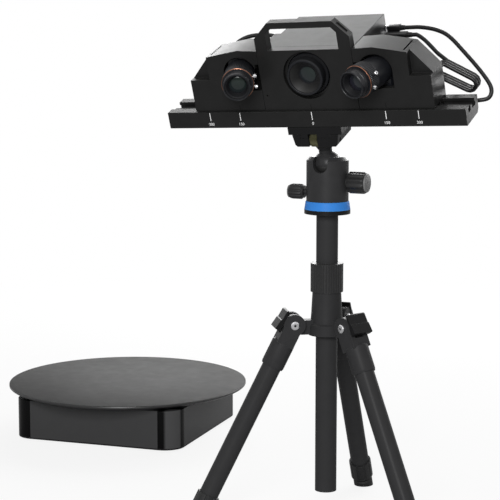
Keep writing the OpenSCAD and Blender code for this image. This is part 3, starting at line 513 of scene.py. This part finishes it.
def block(mesh_data, size, centre, place, bevel=0.0, segments=2, material=0):
    """A box with bevelled edges."""
    made = bmesh.ops.create_cube(mesh_data, size=1.0)["verts"]
    bmesh.ops.scale(mesh_data, vec=size, verts=made)
    bmesh.ops.translate(mesh_data, vec=centre, verts=made)
    edges = list({edge for vert in made for edge in vert.link_edges})
    verts = made
    if bevel:
        rounded = bmesh.ops.bevel(
            mesh_data, geom=edges, offset=bevel, affect="EDGES", segments=segments, profile=0.5, material=-1
        )
        verts = list({vert for face in rounded["faces"] for vert in face.verts} | {v for v in made if v.is_valid})
    for face in {face for vert in verts for face in vert.link_faces}:
        face.material_index = material
    bmesh.ops.transform(mesh_data, matrix=place, verts=verts)


def rod(mesh_data, radius, depth, place, sides=32):
    """A round bar that starts at the place and runs along its +Z."""
    made = bmesh.ops.create_cone(
        mesh_data, cap_ends=True, segments=sides, radius1=radius, radius2=radius, depth=depth
    )["verts"]
    bmesh.ops.translate(mesh_data, vec=(0, 0, depth / 2), verts=made)
    bmesh.ops.transform(mesh_data, matrix=place, verts=made)


def dressed(node, material, bevel=0.0, segments=2, sharp=32.0):
    """A welded copy of a CAD node with its flats joined, smooth faces, sharp edges and a fine bevel."""
    source = NODES[node]
    copy = bmesh.new()
    copy.from_mesh(source.data)
    bmesh.ops.remove_doubles(copy, verts=copy.verts, dist=2e-6)
    bmesh.ops.dissolve_limit(
        copy, angle_limit=radians(0.6), use_dissolve_boundaries=False, verts=copy.verts, edges=copy.edges
    )
    for face in copy.faces:
        face.material_index = 0
    piece = finished(
        node + "_skin", copy, [material], body_of(source)[0], nodes=[node], sharp=sharp
    )
    if bevel:
        rounding = piece.modifiers.new("edge", "BEVEL")
        rounding.width = bevel
        rounding.segments = segments
        rounding.limit_method = "ANGLE"
        rounding.angle_limit = radians(35)
        rounding.harden_normals = True
        rounding.use_clamp_overlap = True
    return piece


def repaint(node, material):
    """Gives a CAD node that stays its finish."""
    slots = NODES[node].data.materials
    slots.clear()
    slots.append(material)


def lettering(text, height, place, depth=0.00012):
    """A plain number as a thin mesh in the place's XY plane, centred on its foot."""
    curve = bpy.data.curves.new("number", "FONT")
    curve.body = text
    curve.size = height
    curve.align_x = "CENTER"
    curve.extrude = depth
    carrier = added("number", curve)
    bpy.context.view_layer.update()
    made = bpy.data.meshes.new_from_object(carrier.evaluated_get(bpy.context.evaluated_depsgraph_get()))
    bpy.data.objects.remove(carrier)
    made.transform(place)
    return made


# ---------------------------------------------------------------- cables, routes on the deck's axes

def metres(*points):
    """Points given in millimetres."""
    return [Vector(part / 1000 for part in point) for point in points]


LOOP_POINTS = metres(
    (90, 104, 61), (97, 104, 61), (112, 103, 61), (132, 100, 58), (150, 94, 51), (172, 82, 33), (195, 68, 12),
    (208, 58, -4), (207, 50, -14), (196, 45, -16), (170, 43, -16), (130, 44, -16), (90, 54, -16), (55, 80, -16),
    (34, 110, -13), (27, 132, -4), (27, 140, 8), (30, 138, 18), (30, 128, 20), (30, 114, 20),
)
HANK_IN = metres((103, 90, 56), (109, 90, 56), (120, 85, 51), (130, 79, 44), (141, 72, 36))
HANK_OUT = metres((132, 44, 44), (115, 43, 50), (110, 38, 50), (110, 31, 50))
LEFT_POINTS = metres(
    (-61, 75, 60), (-68, 75, 60), (-80, 74, 66), (-94, 67, 70), (-108, 58, 71), (-119, 48, 67), (-121, 44, 58),
    (-114, 43, 51), (-110, 38, 50), (-110, 31, 50),
)
HANK_LOW = Vector((0.184, 0.003))
HANK_HIGH = Vector((0.150, 0.022))
HANK_RADIUS = 0.008
HANK_DEPTHS = (0.065, 0.046)
HANK_TURNS = 3
HANK_STEPS = 24
TUBE_SIDES = 12


def smooth_route(points, steps=3):
    """A curve through given points, with straight end stretches."""
    route = [points[0]]
    for a, b, c, d in zip(points, points[1:], points[2:], points[3:]):
        for k in range(steps):
            t = k / steps
            route.append(0.5 * (
                2 * b + (c - a) * t + (2 * a - 5 * b + 4 * c - d) * t * t + (3 * b - a - 3 * c + d) * t ** 3
            ))
    return route + points[-2:]


def hank_place(share):
    """Where one loop of the hank is, from its start at 0 to its end at 1."""
    axis = (HANK_LOW - HANK_HIGH).normalized()
    side = Vector((axis.y, -axis.x))
    run = (HANK_LOW - HANK_HIGH).length
    if share < 0.25:
        return HANK_HIGH + axis * run * 4 * share - side * HANK_RADIUS
    if share < 0.5:
        turn = radians(720 * (share - 0.25))
        return HANK_LOW - HANK_RADIUS * (side * cos(turn) - axis * sin(turn))
    if share < 0.75:
        return HANK_LOW - axis * run * 4 * (share - 0.5) + side * HANK_RADIUS
    turn = radians(720 * (share - 0.75))
    return HANK_HIGH + HANK_RADIUS * (side * cos(turn) - axis * sin(turn))


def hank_route():
    loops = []
    count = HANK_TURNS * HANK_STEPS
    for i in range(count + 1):
        spot = hank_place((i / HANK_STEPS) % 1)
        depth = HANK_DEPTHS[0] + (HANK_DEPTHS[1] - HANK_DEPTHS[0]) * i / count
        loops.append(Vector((spot.x, depth, spot.y)))
    way_in = smooth_route(HANK_IN + [loops[0]])
    way_out = smooth_route([loops[-1]] + HANK_OUT)
    return way_in[:-1] + loops + way_out[1:]


def cable(name, node, route, body, lay):
    """A round cable along a route on the deck's axes."""
    place = deck_place()
    points = [place @ point for point in route]
    diameter = sizes().cord_diameter
    curve = bpy.data.curves.new(name, "CURVE")
    curve.dimensions = "3D"
    curve.bevel_depth = diameter / 2
    curve.bevel_resolution = 5
    curve.use_fill_caps = True
    spline = curve.splines.new("POLY")
    spline.points.add(len(points) - 1)
    for spot, point in zip(spline.points, points):
        spot.co = (*point, 1)
    spline.use_smooth = True
    curve.materials.append(finish("cable"))
    piece = added(name, curve)
    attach(piece, body)
    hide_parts(node)
    return piece


def cable_tube(name, node, route, bodies, blend_from, blend_to):
    """A cable from the casing to a sliding camera, as a tube that follows both."""
    place = deck_place()
    points = [place @ point for point in route]
    diameter = sizes().cord_diameter
    tube = bmesh.new()
    angles = [k * tau / TUBE_SIDES for k in range(TUBE_SIDES)]
    ring = [tube.verts.new((cos(a) * diameter / 2, sin(a) * diameter / 2, 0)) for a in angles]
    front = tube.faces.new(ring)
    aim = (points[1] - points[0]).normalized()
    turn = Vector((0, 0, 1)).rotation_difference(aim).to_matrix().to_4x4()
    bmesh.ops.transform(tube, matrix=Matrix.Translation(points[0]) @ turn, verts=ring)
    for i in range(1, len(points)):
        ahead = (points[min(i + 1, len(points) - 1)] - points[i - 1]).normalized()
        front = bmesh.ops.extrude_discrete_faces(tube, faces=[front])["faces"][0]
        swing = aim.rotation_difference(ahead).to_matrix()
        bmesh.ops.translate(tube, vec=points[i] - points[i - 1], verts=front.verts)
        bmesh.ops.rotate(tube, cent=points[i], matrix=swing, verts=front.verts)
        aim = ahead
    piece = finished(name, tube, [finish("cable")], None, nodes=[node], sharp=60)
    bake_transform(piece, *bodies, start=tuple(place @ Vector(blend_from)), end=tuple(place @ Vector(blend_to)))
    return piece


# ---------------------------------------------------------------- operators

PRINT = 0.00005  # how far printed marks' middles stand off their face
AMBIENT = 0.12  # strength of the surroundings for diffuse light
LAMPS = (  # name, place, target, width and height in metres, watts
    ("key light", (-0.40, 2.17, 1.30), (0.2, -0.2, 0.6), (2.4, 1.15), 62),
    ("front softbox", (1.0, -3.3, 1.5), (0, -0.1, 0.3), (1.2, 1.5), 100),
    ("right softbox", (1.17, 2.12, 1.25), (0.3, -0.2, 0.55), (0.7, 1.7), 14),
)


class SCANNER_OT_stage(bpy.types.Operator):
    """Make the floor, the lights, the surroundings and the camera"""

    bl_idname = "scanner.stage"
    bl_label = "Stage"

    def execute(self, context):
        self.surroundings(context)
        self.floor(context)
        for name, place, target, size, power in LAMPS:
            self.lamp(name, place, target, size, power)
        self.camera(context)
        context.scene.view_settings.view_transform = "Standard"
        return {"FINISHED"}

    def surroundings(self, context):
        """White where the camera, gloss and glass look, and a plainer level for diffuse light."""
        world = bpy.data.worlds.new("studio")
        context.scene.world = world
        world.use_nodes = True
        tree = world.node_tree
        path = put(tree, "LightPath").outputs
        seen = maths(tree, "ADD", path["Is Camera Ray"], path["Is Glossy Ray"])
        white = maths(tree, "ADD", seen, path["Is Transmission Ray"], clamp=True)
        level = maths(tree, "ADD", maths(tree, "MULTIPLY", white, 1 - AMBIENT), AMBIENT)
        settle(tree, tree.nodes["Background"], strength=level, color=(1, 1, 1, 1))

    def floor(self, context):
        """A wide pale floor that turns white away from the object and keeps its shadow."""
        sheet = bmesh.new()
        bmesh.ops.create_circle(sheet, cap_ends=True, segments=96, radius=60.0)
        mesh = bpy.data.meshes.new("floor")
        sheet.to_mesh(mesh)
        sheet.free()
        floor = added("floor", mesh)
        floor.location = (0, 0, -0.0002)
        material, tree, shader = new_material("pale floor")
        settle(tree, shader, base_color=rgba(tints().floor), roughness=0.8, specular_ior_level=0.0)
        path = put(tree, "LightPath").outputs
        reach = put(tree, "VectorMath", operation="LENGTH", vector=put(tree, "TexCoord").outputs["Object"])
        far = put(tree, "MapRange", value=reach.outputs["Value"], from_min=0.8, from_max=4.0)
        level = maths(tree, "ADD", maths(tree, "MULTIPLY", path["Is Camera Ray"], 0.7), 0.3)
        glow = put(tree, "Emission", strength=level)
        blend = put(tree, "MixShader")
        near_share = maths(tree, "ADD", maths(tree, "MULTIPLY", path["Is Camera Ray"], 0.36), 0.5)
        share = maths(tree, "ADD", near_share, maths(tree, "MULTIPLY", far.outputs["Result"], 0.5), clamp=True)
        tree.links.new(share, blend.inputs["Fac"])
        tree.links.new(shader.outputs[0], blend.inputs[1])
        tree.links.new(glow.outputs[0], blend.inputs[2])
        tree.links.new(blend.outputs[0], tree.nodes["Material Output"].inputs["Surface"])
        mesh.materials.append(material)

    def lamp(self, name, place, target, size, power):
        light = bpy.data.lights.new(name, "AREA")
        light.shape = "RECTANGLE"
        light.size, light.size_y = size
        light.energy = power
        lamp = added(name, light)
        lamp.location = place
        aim = Vector(target) - Vector(place)
        lamp.rotation_euler = aim.to_track_quat("-Z", "Y").to_euler()

    def camera(self, context):
        view = bpy.data.cameras.new("camera")
        view.lens = 129.6
        view.sensor_width = 36.0
        view.clip_end = 200.0
        camera = added("camera", view)
        camera.location = (1.078419, -2.328503, 0.680)
        camera.rotation_euler = (radians(81.884), 0, radians(24.254))
        context.scene.camera = camera


class SCANNER_OT_cables(bpy.types.Operator):
    """Make the three cables and the plugs on the casing's side"""

    bl_idname = "scanner.cables"
    bl_label = "Cables and plugs"

    def execute(self, context):
        cable("loop_cable", "cord_loop", smooth_route(LOOP_POINTS, 6), "head", "loose")
        cable_tube(
            "hank_cable", "cord_hank", hank_route(), ("head", "camera_right"), (0.11, 0.046, 0.05),
            (0.11, 0.038, 0.05),
        )
        cable_tube(
            "left_cable", "cord_left", smooth_route(LEFT_POINTS, 6), ("head", "camera_left"),
            (-0.11, 0.066, 0.05), (-0.11, 0.038, 0.05),
        )
        self.plugs()
        return {"FINISHED"}

    def plugs(self):
        """Two moulded plugs with metal shells and ribbed strain reliefs."""
        place = deck_place()
        side = sizes().face_width / 2
        plugs = bmesh.new()
        for reach, depth, height, tall in ((0.027, 0.104, 0.061, 0.008), (0.040, 0.090, 0.056, 0.007)):
            block(plugs, (0.004, 0.009, tall - 0.002), (side + 0.0022, depth, height), place, 0.0003, material=1)
            block(plugs, (reach - 0.010, 0.011, tall), (side + 0.004 + (reach - 0.010) / 2, depth, height), place,
                  0.0012, 3)
            for rib in range(4):
                spot = Matrix.Translation((side + reach - 0.006 + rib * 0.0015, depth, height))
                rod(plugs, 0.0038 - rib * 0.0002, 0.0009, place @ spot @ SIDEWAYS, 20)
            spot = Matrix.Translation((side + reach - 0.0062, depth, height))
            rod(plugs, 0.0031, 0.0061, place @ spot @ SIDEWAYS, 20)
        finished("side_plugs", plugs, [finish("cable"), finish("bolt")], "head", nodes=["cable_plugs"])


class SCANNER_OT_turntable(bpy.types.Operator):
    """Make the turning disc and dress the turntable's base"""

    bl_idname = "scanner.turntable"
    bl_label = "Turntable"

    def execute(self, context):
        self.disc()
        dressed("table_base", base_gloss(), 0.0012, 3, sharp=20)
        repaint("table_bottom_cover", finish("cover"))
        repaint("table_feet", finish("foot"))
        for node in ("table_spindle", "table_bearing", "table_motor"):
            repaint(node, finish("steel"))
        repaint("table_pinion", finish("brass"))
        return {"FINISHED"}

    def disc(self):
        """The disc turned with a rounded rim and a black underside."""
        low, high = (Vector(corner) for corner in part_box("table_disc"))
        axis = middle("table_disc")
        radius = (high.x - low.x) / 2
        thick = high.z - low.z
        bore = 0.0104
        profile = [
            (bore, 0.0, 1), (radius - 0.010, 0.0, 1), (radius - 0.0010, thick - 0.0042, 1),
            (radius, thick - 0.0034, 1), (radius, thick - 0.0011, 1), (radius - 0.0003, thick - 0.0004, 0),
            (radius - 0.0011, thick, 0),
            (0.0002, thick, 0), (0.0002, thick - 0.001, 1), (bore, thick - 0.001, 1),
        ]
        disc = bmesh.new()
        turned(disc, profile, Matrix.Translation((axis.x, axis.y, low.z)), steps=192)
        finished("turning_disc", disc, [finish("disc"), finish("disc edge")], "turntable", nodes=["table_disc"],
                 sharp=50)


class SCANNER_OT_tripod(bpy.types.Operator):
    """Dress the column, hub, legs, latches and locks of the tripod"""

    bl_idname = "scanner.tripod"
    bl_label = "Tripod"

    def execute(self, context):
        dressed("tripod_hub", finish("casting"), sizes().small_edge, 2, sharp=25)
        dressed("column_collar", finish("knob"))
        dressed("centre_column", finish("tube"))
        self.bolts()
        for i in (1, 2, 3):
            dressed(f"leg_fork_{i}", finish("casting"), sharp=25)
            dressed(f"leg_tube_{i}", finish("tube"))
            dressed(f"leg_latch_{i}", finish("latch"), sizes().small_edge)
            dressed(f"leg_lock_{i}", finish("knob"), 0.0003)
            dressed(f"leg_lower_{i}", finish("tube"))
            dressed(f"leg_foot_{i}", finish("foot"))
        return {"FINISHED"}

    def bolts(self):
        """Round-headed bolts at each leg's pivot, each with a round socket whose recess is painted near-black as
        shade.
        """
        half = 0.0144
        # The socket's wall and floor take the near-black finish: painted shade.
        head = [
            (0.0001, 0.0, 0), (0.0057, 0.0, 0), (0.0057, 0.0014, 0), (0.0054, 0.0022, 0), (0.0046, 0.0028, 0),
            (0.0034, 0.003, 0), (0.0016, 0.003, 0), (0.0015, 0.0020, 1), (0.0001, 0.0020, 1),
        ]
        bolts = bmesh.new()
        for i in (1, 2, 3):
            joint = JOINTS[f"leg_{i}_fold"]
            turn = Vector((0, 0, 1)).rotation_difference(Vector(joint["axis"]).normalized()).to_matrix().to_4x4()
            pivot = Matrix.Translation(joint["pos_m"]) @ turn
            for flip in (0, pi):
                turned(bolts, head, pivot @ Matrix.Rotation(flip, 4, "X") @ Matrix.Translation((0, 0, half)), steps=48)
            rod(bolts, 0.004, 2 * half, pivot @ Matrix.Translation((0, 0, -half)))
        finished("leg_bolts", bolts, [finish("bolt"), finish("port")], "base", nodes=["pivot_bolts"],
                 sharp=25)


class SCANNER_OT_ball_head(bpy.types.Operator):
    """Dress the ball head's housing, ring and clamp, and turn its knobs and thumbwheel"""

    bl_idname = "scanner.ball_head"
    bl_label = "Ball head"

    def execute(self, context):
        dressed("ball_housing", finish("ball head"), sharp=25)
        dressed("pan_ring", finish("ring"), sharp=25)
        dressed("pan_base", finish("plate"), sharp=25)
        dressed("ball_stem", finish("ball head"), sharp=25)
        repaint("ball_cup", finish("liner"))
        for node in ("clamp_body", "clamp_jaw", "dovetail_plate"):
            dressed(node, finish("plate"), 0.0005, 2)
        self.knob("main_knob", 1, 0.014, 0.025, 10)
        self.knob("pan_knob", -1, 0.0098, 0.019, 14)
        self.thumbwheel()
        return {"FINISHED"}

    def knob(self, node, side, radius, reach, flutes):
        """A fluted knob with its end disc painted light grey as a highlight, on a short neck."""
        low, high = (Vector(corner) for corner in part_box(node))
        centre = middle(node)
        outer = high.x if side > 0 else low.x
        root = Matrix.Translation((outer - side * reach, centre.y, centre.z))
        place = root @ Matrix.Rotation(side * pi / 2, 4, "Y")
        neck = (high.x - low.x) - reach
        profile = [
            (0.004, -neck, 0), (0.004, -0.0028, 0), (0.008, -0.0026, 0), (0.008, 0.0, 0),
            (radius * 0.93, 0.0, 0), (radius, 0.0012, 0), (radius, reach - 0.0062, 0),
            (radius * 0.985, reach - 0.0042, 0), (radius * 0.9, reach - 0.0022, 0),
            (radius * 0.86, reach - 0.0018, 2), (radius * 0.84, reach - 0.0004, 2), (radius * 0.8, reach, 2),
            (radius * 0.12, reach, 2), (radius * 0.1, reach - 0.0008, 1), (0.0002, reach - 0.0008, 1),
            (0.0002, -neck, 0),
        ]
        knob = bmesh.new()
        turned(knob, profile, place, steps=flutes * 12, flutes=flutes, flute_depth=radius * 0.1,
               flute_zone=(0.0, reach - 0.003, radius * 0.9))
        finished(node + "_grip", knob, [finish("knob"), finish("port"), finish("knob end")],
                 body_of(NODES[node])[0], nodes=[node], sharp=40)

    def thumbwheel(self):
        """The knurled wheel on its screw, under the dovetail."""
        place = head_place() @ Matrix.Translation((-0.027, -0.016, 0.0405)) @ SIDEWAYS
        start, wide, shank, screw = 0.018, 0.010, 0.0025, 0.054
        profile = [
            (0.0002, 0.0, 1), (shank, 0.0, 1), (shank, start, 1), (0.0085, start, 0), (0.0094, start + 0.0009, 0),
            (0.0094, start + wide - 0.0009, 0), (0.0085, start + wide, 0), (shank, start + wide, 1),
            (shank, screw, 1), (0.0002, screw, 1),
        ]
        wheel = bmesh.new()
        turned(wheel, profile, place, steps=160, flutes=40, flute_depth=0.0007,
               flute_zone=(start, start + wide + 0.0001, 0.008))
        finished("clamp_thumbwheel", wheel, [finish("wheel"), finish("steel")], "wheel", nodes=["clamp_wheel"],
                 sharp=30)


class SCANNER_OT_rail(bpy.types.Operator):
    """Dress the camera rail and print its scale"""

    bl_idname = "scanner.rail"
    bl_label = "Rail and scale"

    def execute(self, context):
        dressed("camera_rail", finish("casing"), sizes().small_edge, 2)
        self.scale()
        return {"FINISHED"}

    def scale(self):
        """White ticks with plain numbers on the rail's front."""
        size = sizes()
        place = deck_place()
        front = -size.rail_depth / 2
        marks = bmesh.new()
        tick = (0.0009, 0.0002, size.rail_height * 0.48)
        for x, label in ((-0.14, "300"), (-0.098, "150"), (0.0, "0"), (0.098, "150"), (0.14, "300")):
            block(marks, tick, (x, front - PRINT, -size.rail_height * 0.29), place)
            foot = (x + 0.0002, front - PRINT, -size.rail_height * 0.82)
            upright = Matrix.Translation(foot) @ FRONTWARD
            marks.from_mesh(lettering(label, 0.0052, place @ upright))
        for face in marks.faces:
            face.material_index = 0
        finished("rail_scale", marks, [finish("marking")], "head")


class SCANNER_OT_head(bpy.types.Operator):
    """Dress the projector's casing, its front plate and the camera housings, and add their small parts"""

    bl_idname = "scanner.head"
    bl_label = "Scan head"

    def execute(self, context):
        edge = sizes().casing_edge
        dressed("front_plate", finish("casing"), edge, 2)
        dressed("projector_casing", finish("casing"), edge, 2)
        dressed("rear_panel", finish("plate"), 0.0003, 1)
        for side, word in CAMERAS:
            dressed(f"camera_housing_{word}", finish("casing"), edge, 2)
        repaint("light_engine", finish("engine"))
        self.index_lines()
        self.lens_screws()
        self.side_ports()
        return {"FINISHED"}

    def index_lines(self):
        """Dark index lines at the foot of the front plate and of each camera housing."""
        size = sizes()
        place = deck_place()
        lines = bmesh.new()
        block(lines, (0.0007, 0.0002, 0.0068), (-0.0008, -size.face_front - PRINT, 0.0040), place)
        finished("plate_index", lines, [finish("port")], "head")
        for side, word in CAMERAS:
            line = bmesh.new()
            spot = (side * 0.098, -size.face_front - PRINT, 0.0048)
            block(line, (0.0007, 0.0002, 0.0072), spot, place)
            finished(f"camera_{word}_index", line, [finish("port")], f"camera_{word}")

    def lens_screws(self):
        """Two bright locking screws on each camera's barrel, on its right as seen from the front, their sockets
        painted near-black as shade.
        """
        profile = [
            (0.0001, 0.0, 0), (0.0012, 0.0, 0), (0.0012, 0.0022, 0), (0.0022, 0.0022, 0), (0.0025, 0.0026, 0),
            (0.0025, 0.0052, 0), (0.0021, 0.0057, 0), (0.0009, 0.0057, 0), (0.0008, 0.0050, 1), (0.0001, 0.0050, 1),
        ]
        for side, word in CAMERAS:
            screws = bmesh.new()
            for along, turn in ((0.0245, 24), (0.0305, -16)):
                around = Matrix.Rotation(radians(turn), 4, "Z") @ Matrix.Rotation(radians(90 * side), 4, "Y")
                stand = Matrix.Translation((0, 0, sizes().lens_radius + 0.0014))
                place = lens_place(side) @ Matrix.Translation((0, 0, along)) @ around @ stand
                turned(screws, profile, place, steps=32)
            finished(f"camera_{word}_screws", screws, [finish("bolt"), finish("port")], f"camera_{word}",
                     sharp=25)

    def side_ports(self):
        """Dark sockets on the casing's right side."""
        place = deck_place()
        side = sizes().face_width / 2
        ports = bmesh.new()
        block(ports, (0.0012, 0.018, 0.012), (side, 0.061, 0.052), place, 0.0004)
        block(ports, (0.0014, 0.0055, 0.0055), (side, 0.040, 0.064), place, 0.0004)
        finished("side_ports", ports, [finish("port")], "head")


class SCANNER_OT_lenses(bpy.types.Operator):
    """Turn the projector's barrel, the camera barrels, their focus rings and their glasses"""

    bl_idname = "scanner.lenses"
    bl_label = "Lenses"

    def execute(self, context):
        self.projector()
        for side, word in CAMERAS:
            self.barrel(side, word)
            self.focus_ring(side, word)
            self.glass(side, word)
        return {"FINISHED"}

    def projector(self):
        """A short barrel with a ridged funnel down to a domed glass."""
        root = sizes().projector_radius
        radius = root * 0.875
        glass_radius = 0.0124
        profile = [
            (root, -0.030, 0), (root, -0.0060, 0), (root - 0.0006, -0.0054, 1), (radius, -0.0052, 1),
            (radius, 0.0066, 0), (radius - 0.0008, 0.0078, 0), (radius - 0.0014, 0.008, 0),
            (radius - 0.0026, 0.008, 0), (radius - 0.0031, 0.0075, 1), (radius - 0.0034, 0.0060, 2),
            (radius - 0.0120, -0.0024, 0), (radius - 0.0124, -0.0034, 1), (radius - 0.0134, -0.0036, 0),
            (glass_radius + 0.0002, -0.0040, 0), (glass_radius, -0.0048, 1), (glass_radius + 0.0002, -0.0080, 1),
            (0.020, -0.030, 1),
        ]
        barrel = bmesh.new()
        turned(barrel, profile, projector_place(), steps=128)
        finished("projector_barrel", barrel, [finish("barrel"), finish("lens inside"), finish("funnel")], "head",
                 nodes=["projector_lens"], sharp=25)
        glass = bmesh.new()
        self.dome(glass, glass_radius, -0.0045, 0.0020, projector_place())
        finished("projector_front_glass", glass, [coated_glass()], "head", nodes=["projector_glass"],
                 sharp=60)

    def dome(self, mesh_data, radius, foot, rise, place):
        """A domed glass with a short cylindrical edge."""
        ball = (radius ** 2 + rise ** 2) / (2 * rise)
        profile = [(0.0001, foot - 0.0030, 0), (radius, foot - 0.0030, 0)]
        for step in range(13):
            r = radius * (1 - step / 12)
            profile.append((max(r, 0.0001), foot + (ball ** 2 - r ** 2) ** 0.5 - (ball - rise), 0))
        turned(mesh_data, profile, place, steps=96)

    def barrel(self, side, word):
        """The camera behind the window, its barrel, and the front ring with its funnel."""
        size = sizes()
        r = size.lens_radius
        front = size.camera_reach
        back = -0.0093
        tip = r - 0.0006
        profile = [
            (0.0104, back, 2), (r, back, 0), (r, 0.0, 0), (r + 0.0012, 0.001, 0), (r + 0.0012, 0.0165, 0),
            (r + 0.0006, 0.017, 0), (r, 0.017, 0), (r, front - 0.0152, 0), (r + 0.0018, front - 0.0150, 0),
            (r + 0.0024, front - 0.0144, 1), (r + 0.0024, front - 0.0138, 1), (r + 0.0018, front - 0.0134, 0),
            (tip, front - 0.0132, 0), (tip, front - 0.0072, 0), (tip - 0.0004, front - 0.0068, 0),
            (tip - 0.0004, front - 0.0062, 0), (tip, front - 0.0058, 0), (tip, front - 0.0008, 0),
            (tip - 0.0007, front, 0), (tip - 0.0016, front, 0), (tip - 0.0021, front - 0.0006, 2),
            (tip - 0.0024, front - 0.0030, 2), (tip - 0.0038, front - 0.0034, 0), (tip - 0.0041, front - 0.0038, 2),
            (r - 0.0068, front - 0.0090, 0), (r - 0.0072, front - 0.0096, 2), (0.0104, front - 0.0130, 2),
        ]
        camera = bmesh.new()
        place = lens_place(side)
        turned(camera, profile, place, steps=112)
        block(camera, (0.028, 0.0395, 0.026), (0, -0.00175, -0.0233), place, 0.0008, 2)
        finished(f"camera_{word}_barrel", camera, [finish("barrel"), finish("copper"), finish("lens inside")],
                 f"camera_{word}", nodes=[f"camera_{word}"], sharp=25)

    def focus_ring(self, side, word):
        """The ribbed ring round the barrel."""
        r = sizes().lens_radius
        profile = [
            (r + 0.0001, 0.0173, 0), (r + 0.0018, 0.0173, 0), (r + 0.0024, 0.0179, 0), (r + 0.0024, 0.0307, 0),
            (r + 0.0018, 0.0313, 0), (r + 0.0001, 0.0313, 0),
        ]
        ring = bmesh.new()
        turned(ring, profile, lens_place(side), steps=240, flutes=60, flute_depth=0.0005,
               flute_zone=(0.0170, 0.0320, r + 0.0012))
        finished(f"focus_{word}_ring", ring, [finish("barrel")], f"focus_{word}", nodes=[f"focus_ring_{word}"],
                 sharp=30)

    def glass(self, side, word):
        size = sizes()
        glass = bmesh.new()
        self.dome(glass, size.lens_radius - 0.0066, size.camera_reach - 0.0120, 0.0024, lens_place(side))
        finished(f"camera_{word}_front_glass", glass, [coated_glass()], f"camera_{word}",
                 nodes=[f"camera_glass_{word}"], sharp=60)


class SCANNER_PT_panel(bpy.types.Panel):
    """Shows the scanner's operators, sizes and colours"""

    bl_idname = "SCANNER_PT_panel"
    bl_label = "Desktop scanner"
    bl_space_type = "VIEW_3D"
    bl_region_type = "UI"
    bl_category = "Scanner"

    def draw(self, context):
        for operator in OPERATORS:
            self.layout.operator(operator.bl_idname)
        for group in (context.scene.scanner_sizes, context.scene.scanner_colours):
            box = self.layout.box()
            for name in group.bl_rna.properties.keys():
                if name not in ("rna_type", "name"):
                    box.prop(group, name)


OPERATORS = (
    SCANNER_OT_stage, SCANNER_OT_cables, SCANNER_OT_turntable, SCANNER_OT_tripod, SCANNER_OT_ball_head,
    SCANNER_OT_rail, SCANNER_OT_head, SCANNER_OT_lenses,
)
CLASSES = (ScannerSizes, ScannerColours) + OPERATORS + (SCANNER_PT_panel,)


def register():
    for cls in CLASSES:
        bpy.utils.register_class(cls)
    bpy.types.Scene.scanner_sizes = PointerProperty(type=ScannerSizes)
    bpy.types.Scene.scanner_colours = PointerProperty(type=ScannerColours)


def unregister():
    del bpy.types.Scene.scanner_colours
    del bpy.types.Scene.scanner_sizes
    for cls in reversed(CLASSES):
        bpy.utils.unregister_class(cls)


def main():
    register()
    for operator in OPERATORS:
        group, name = operator.bl_idname.split(".")
        getattr(getattr(bpy.ops, group), name)()
    bpy.context.view_layer.update()


if __name__ == "__main__":
    main()
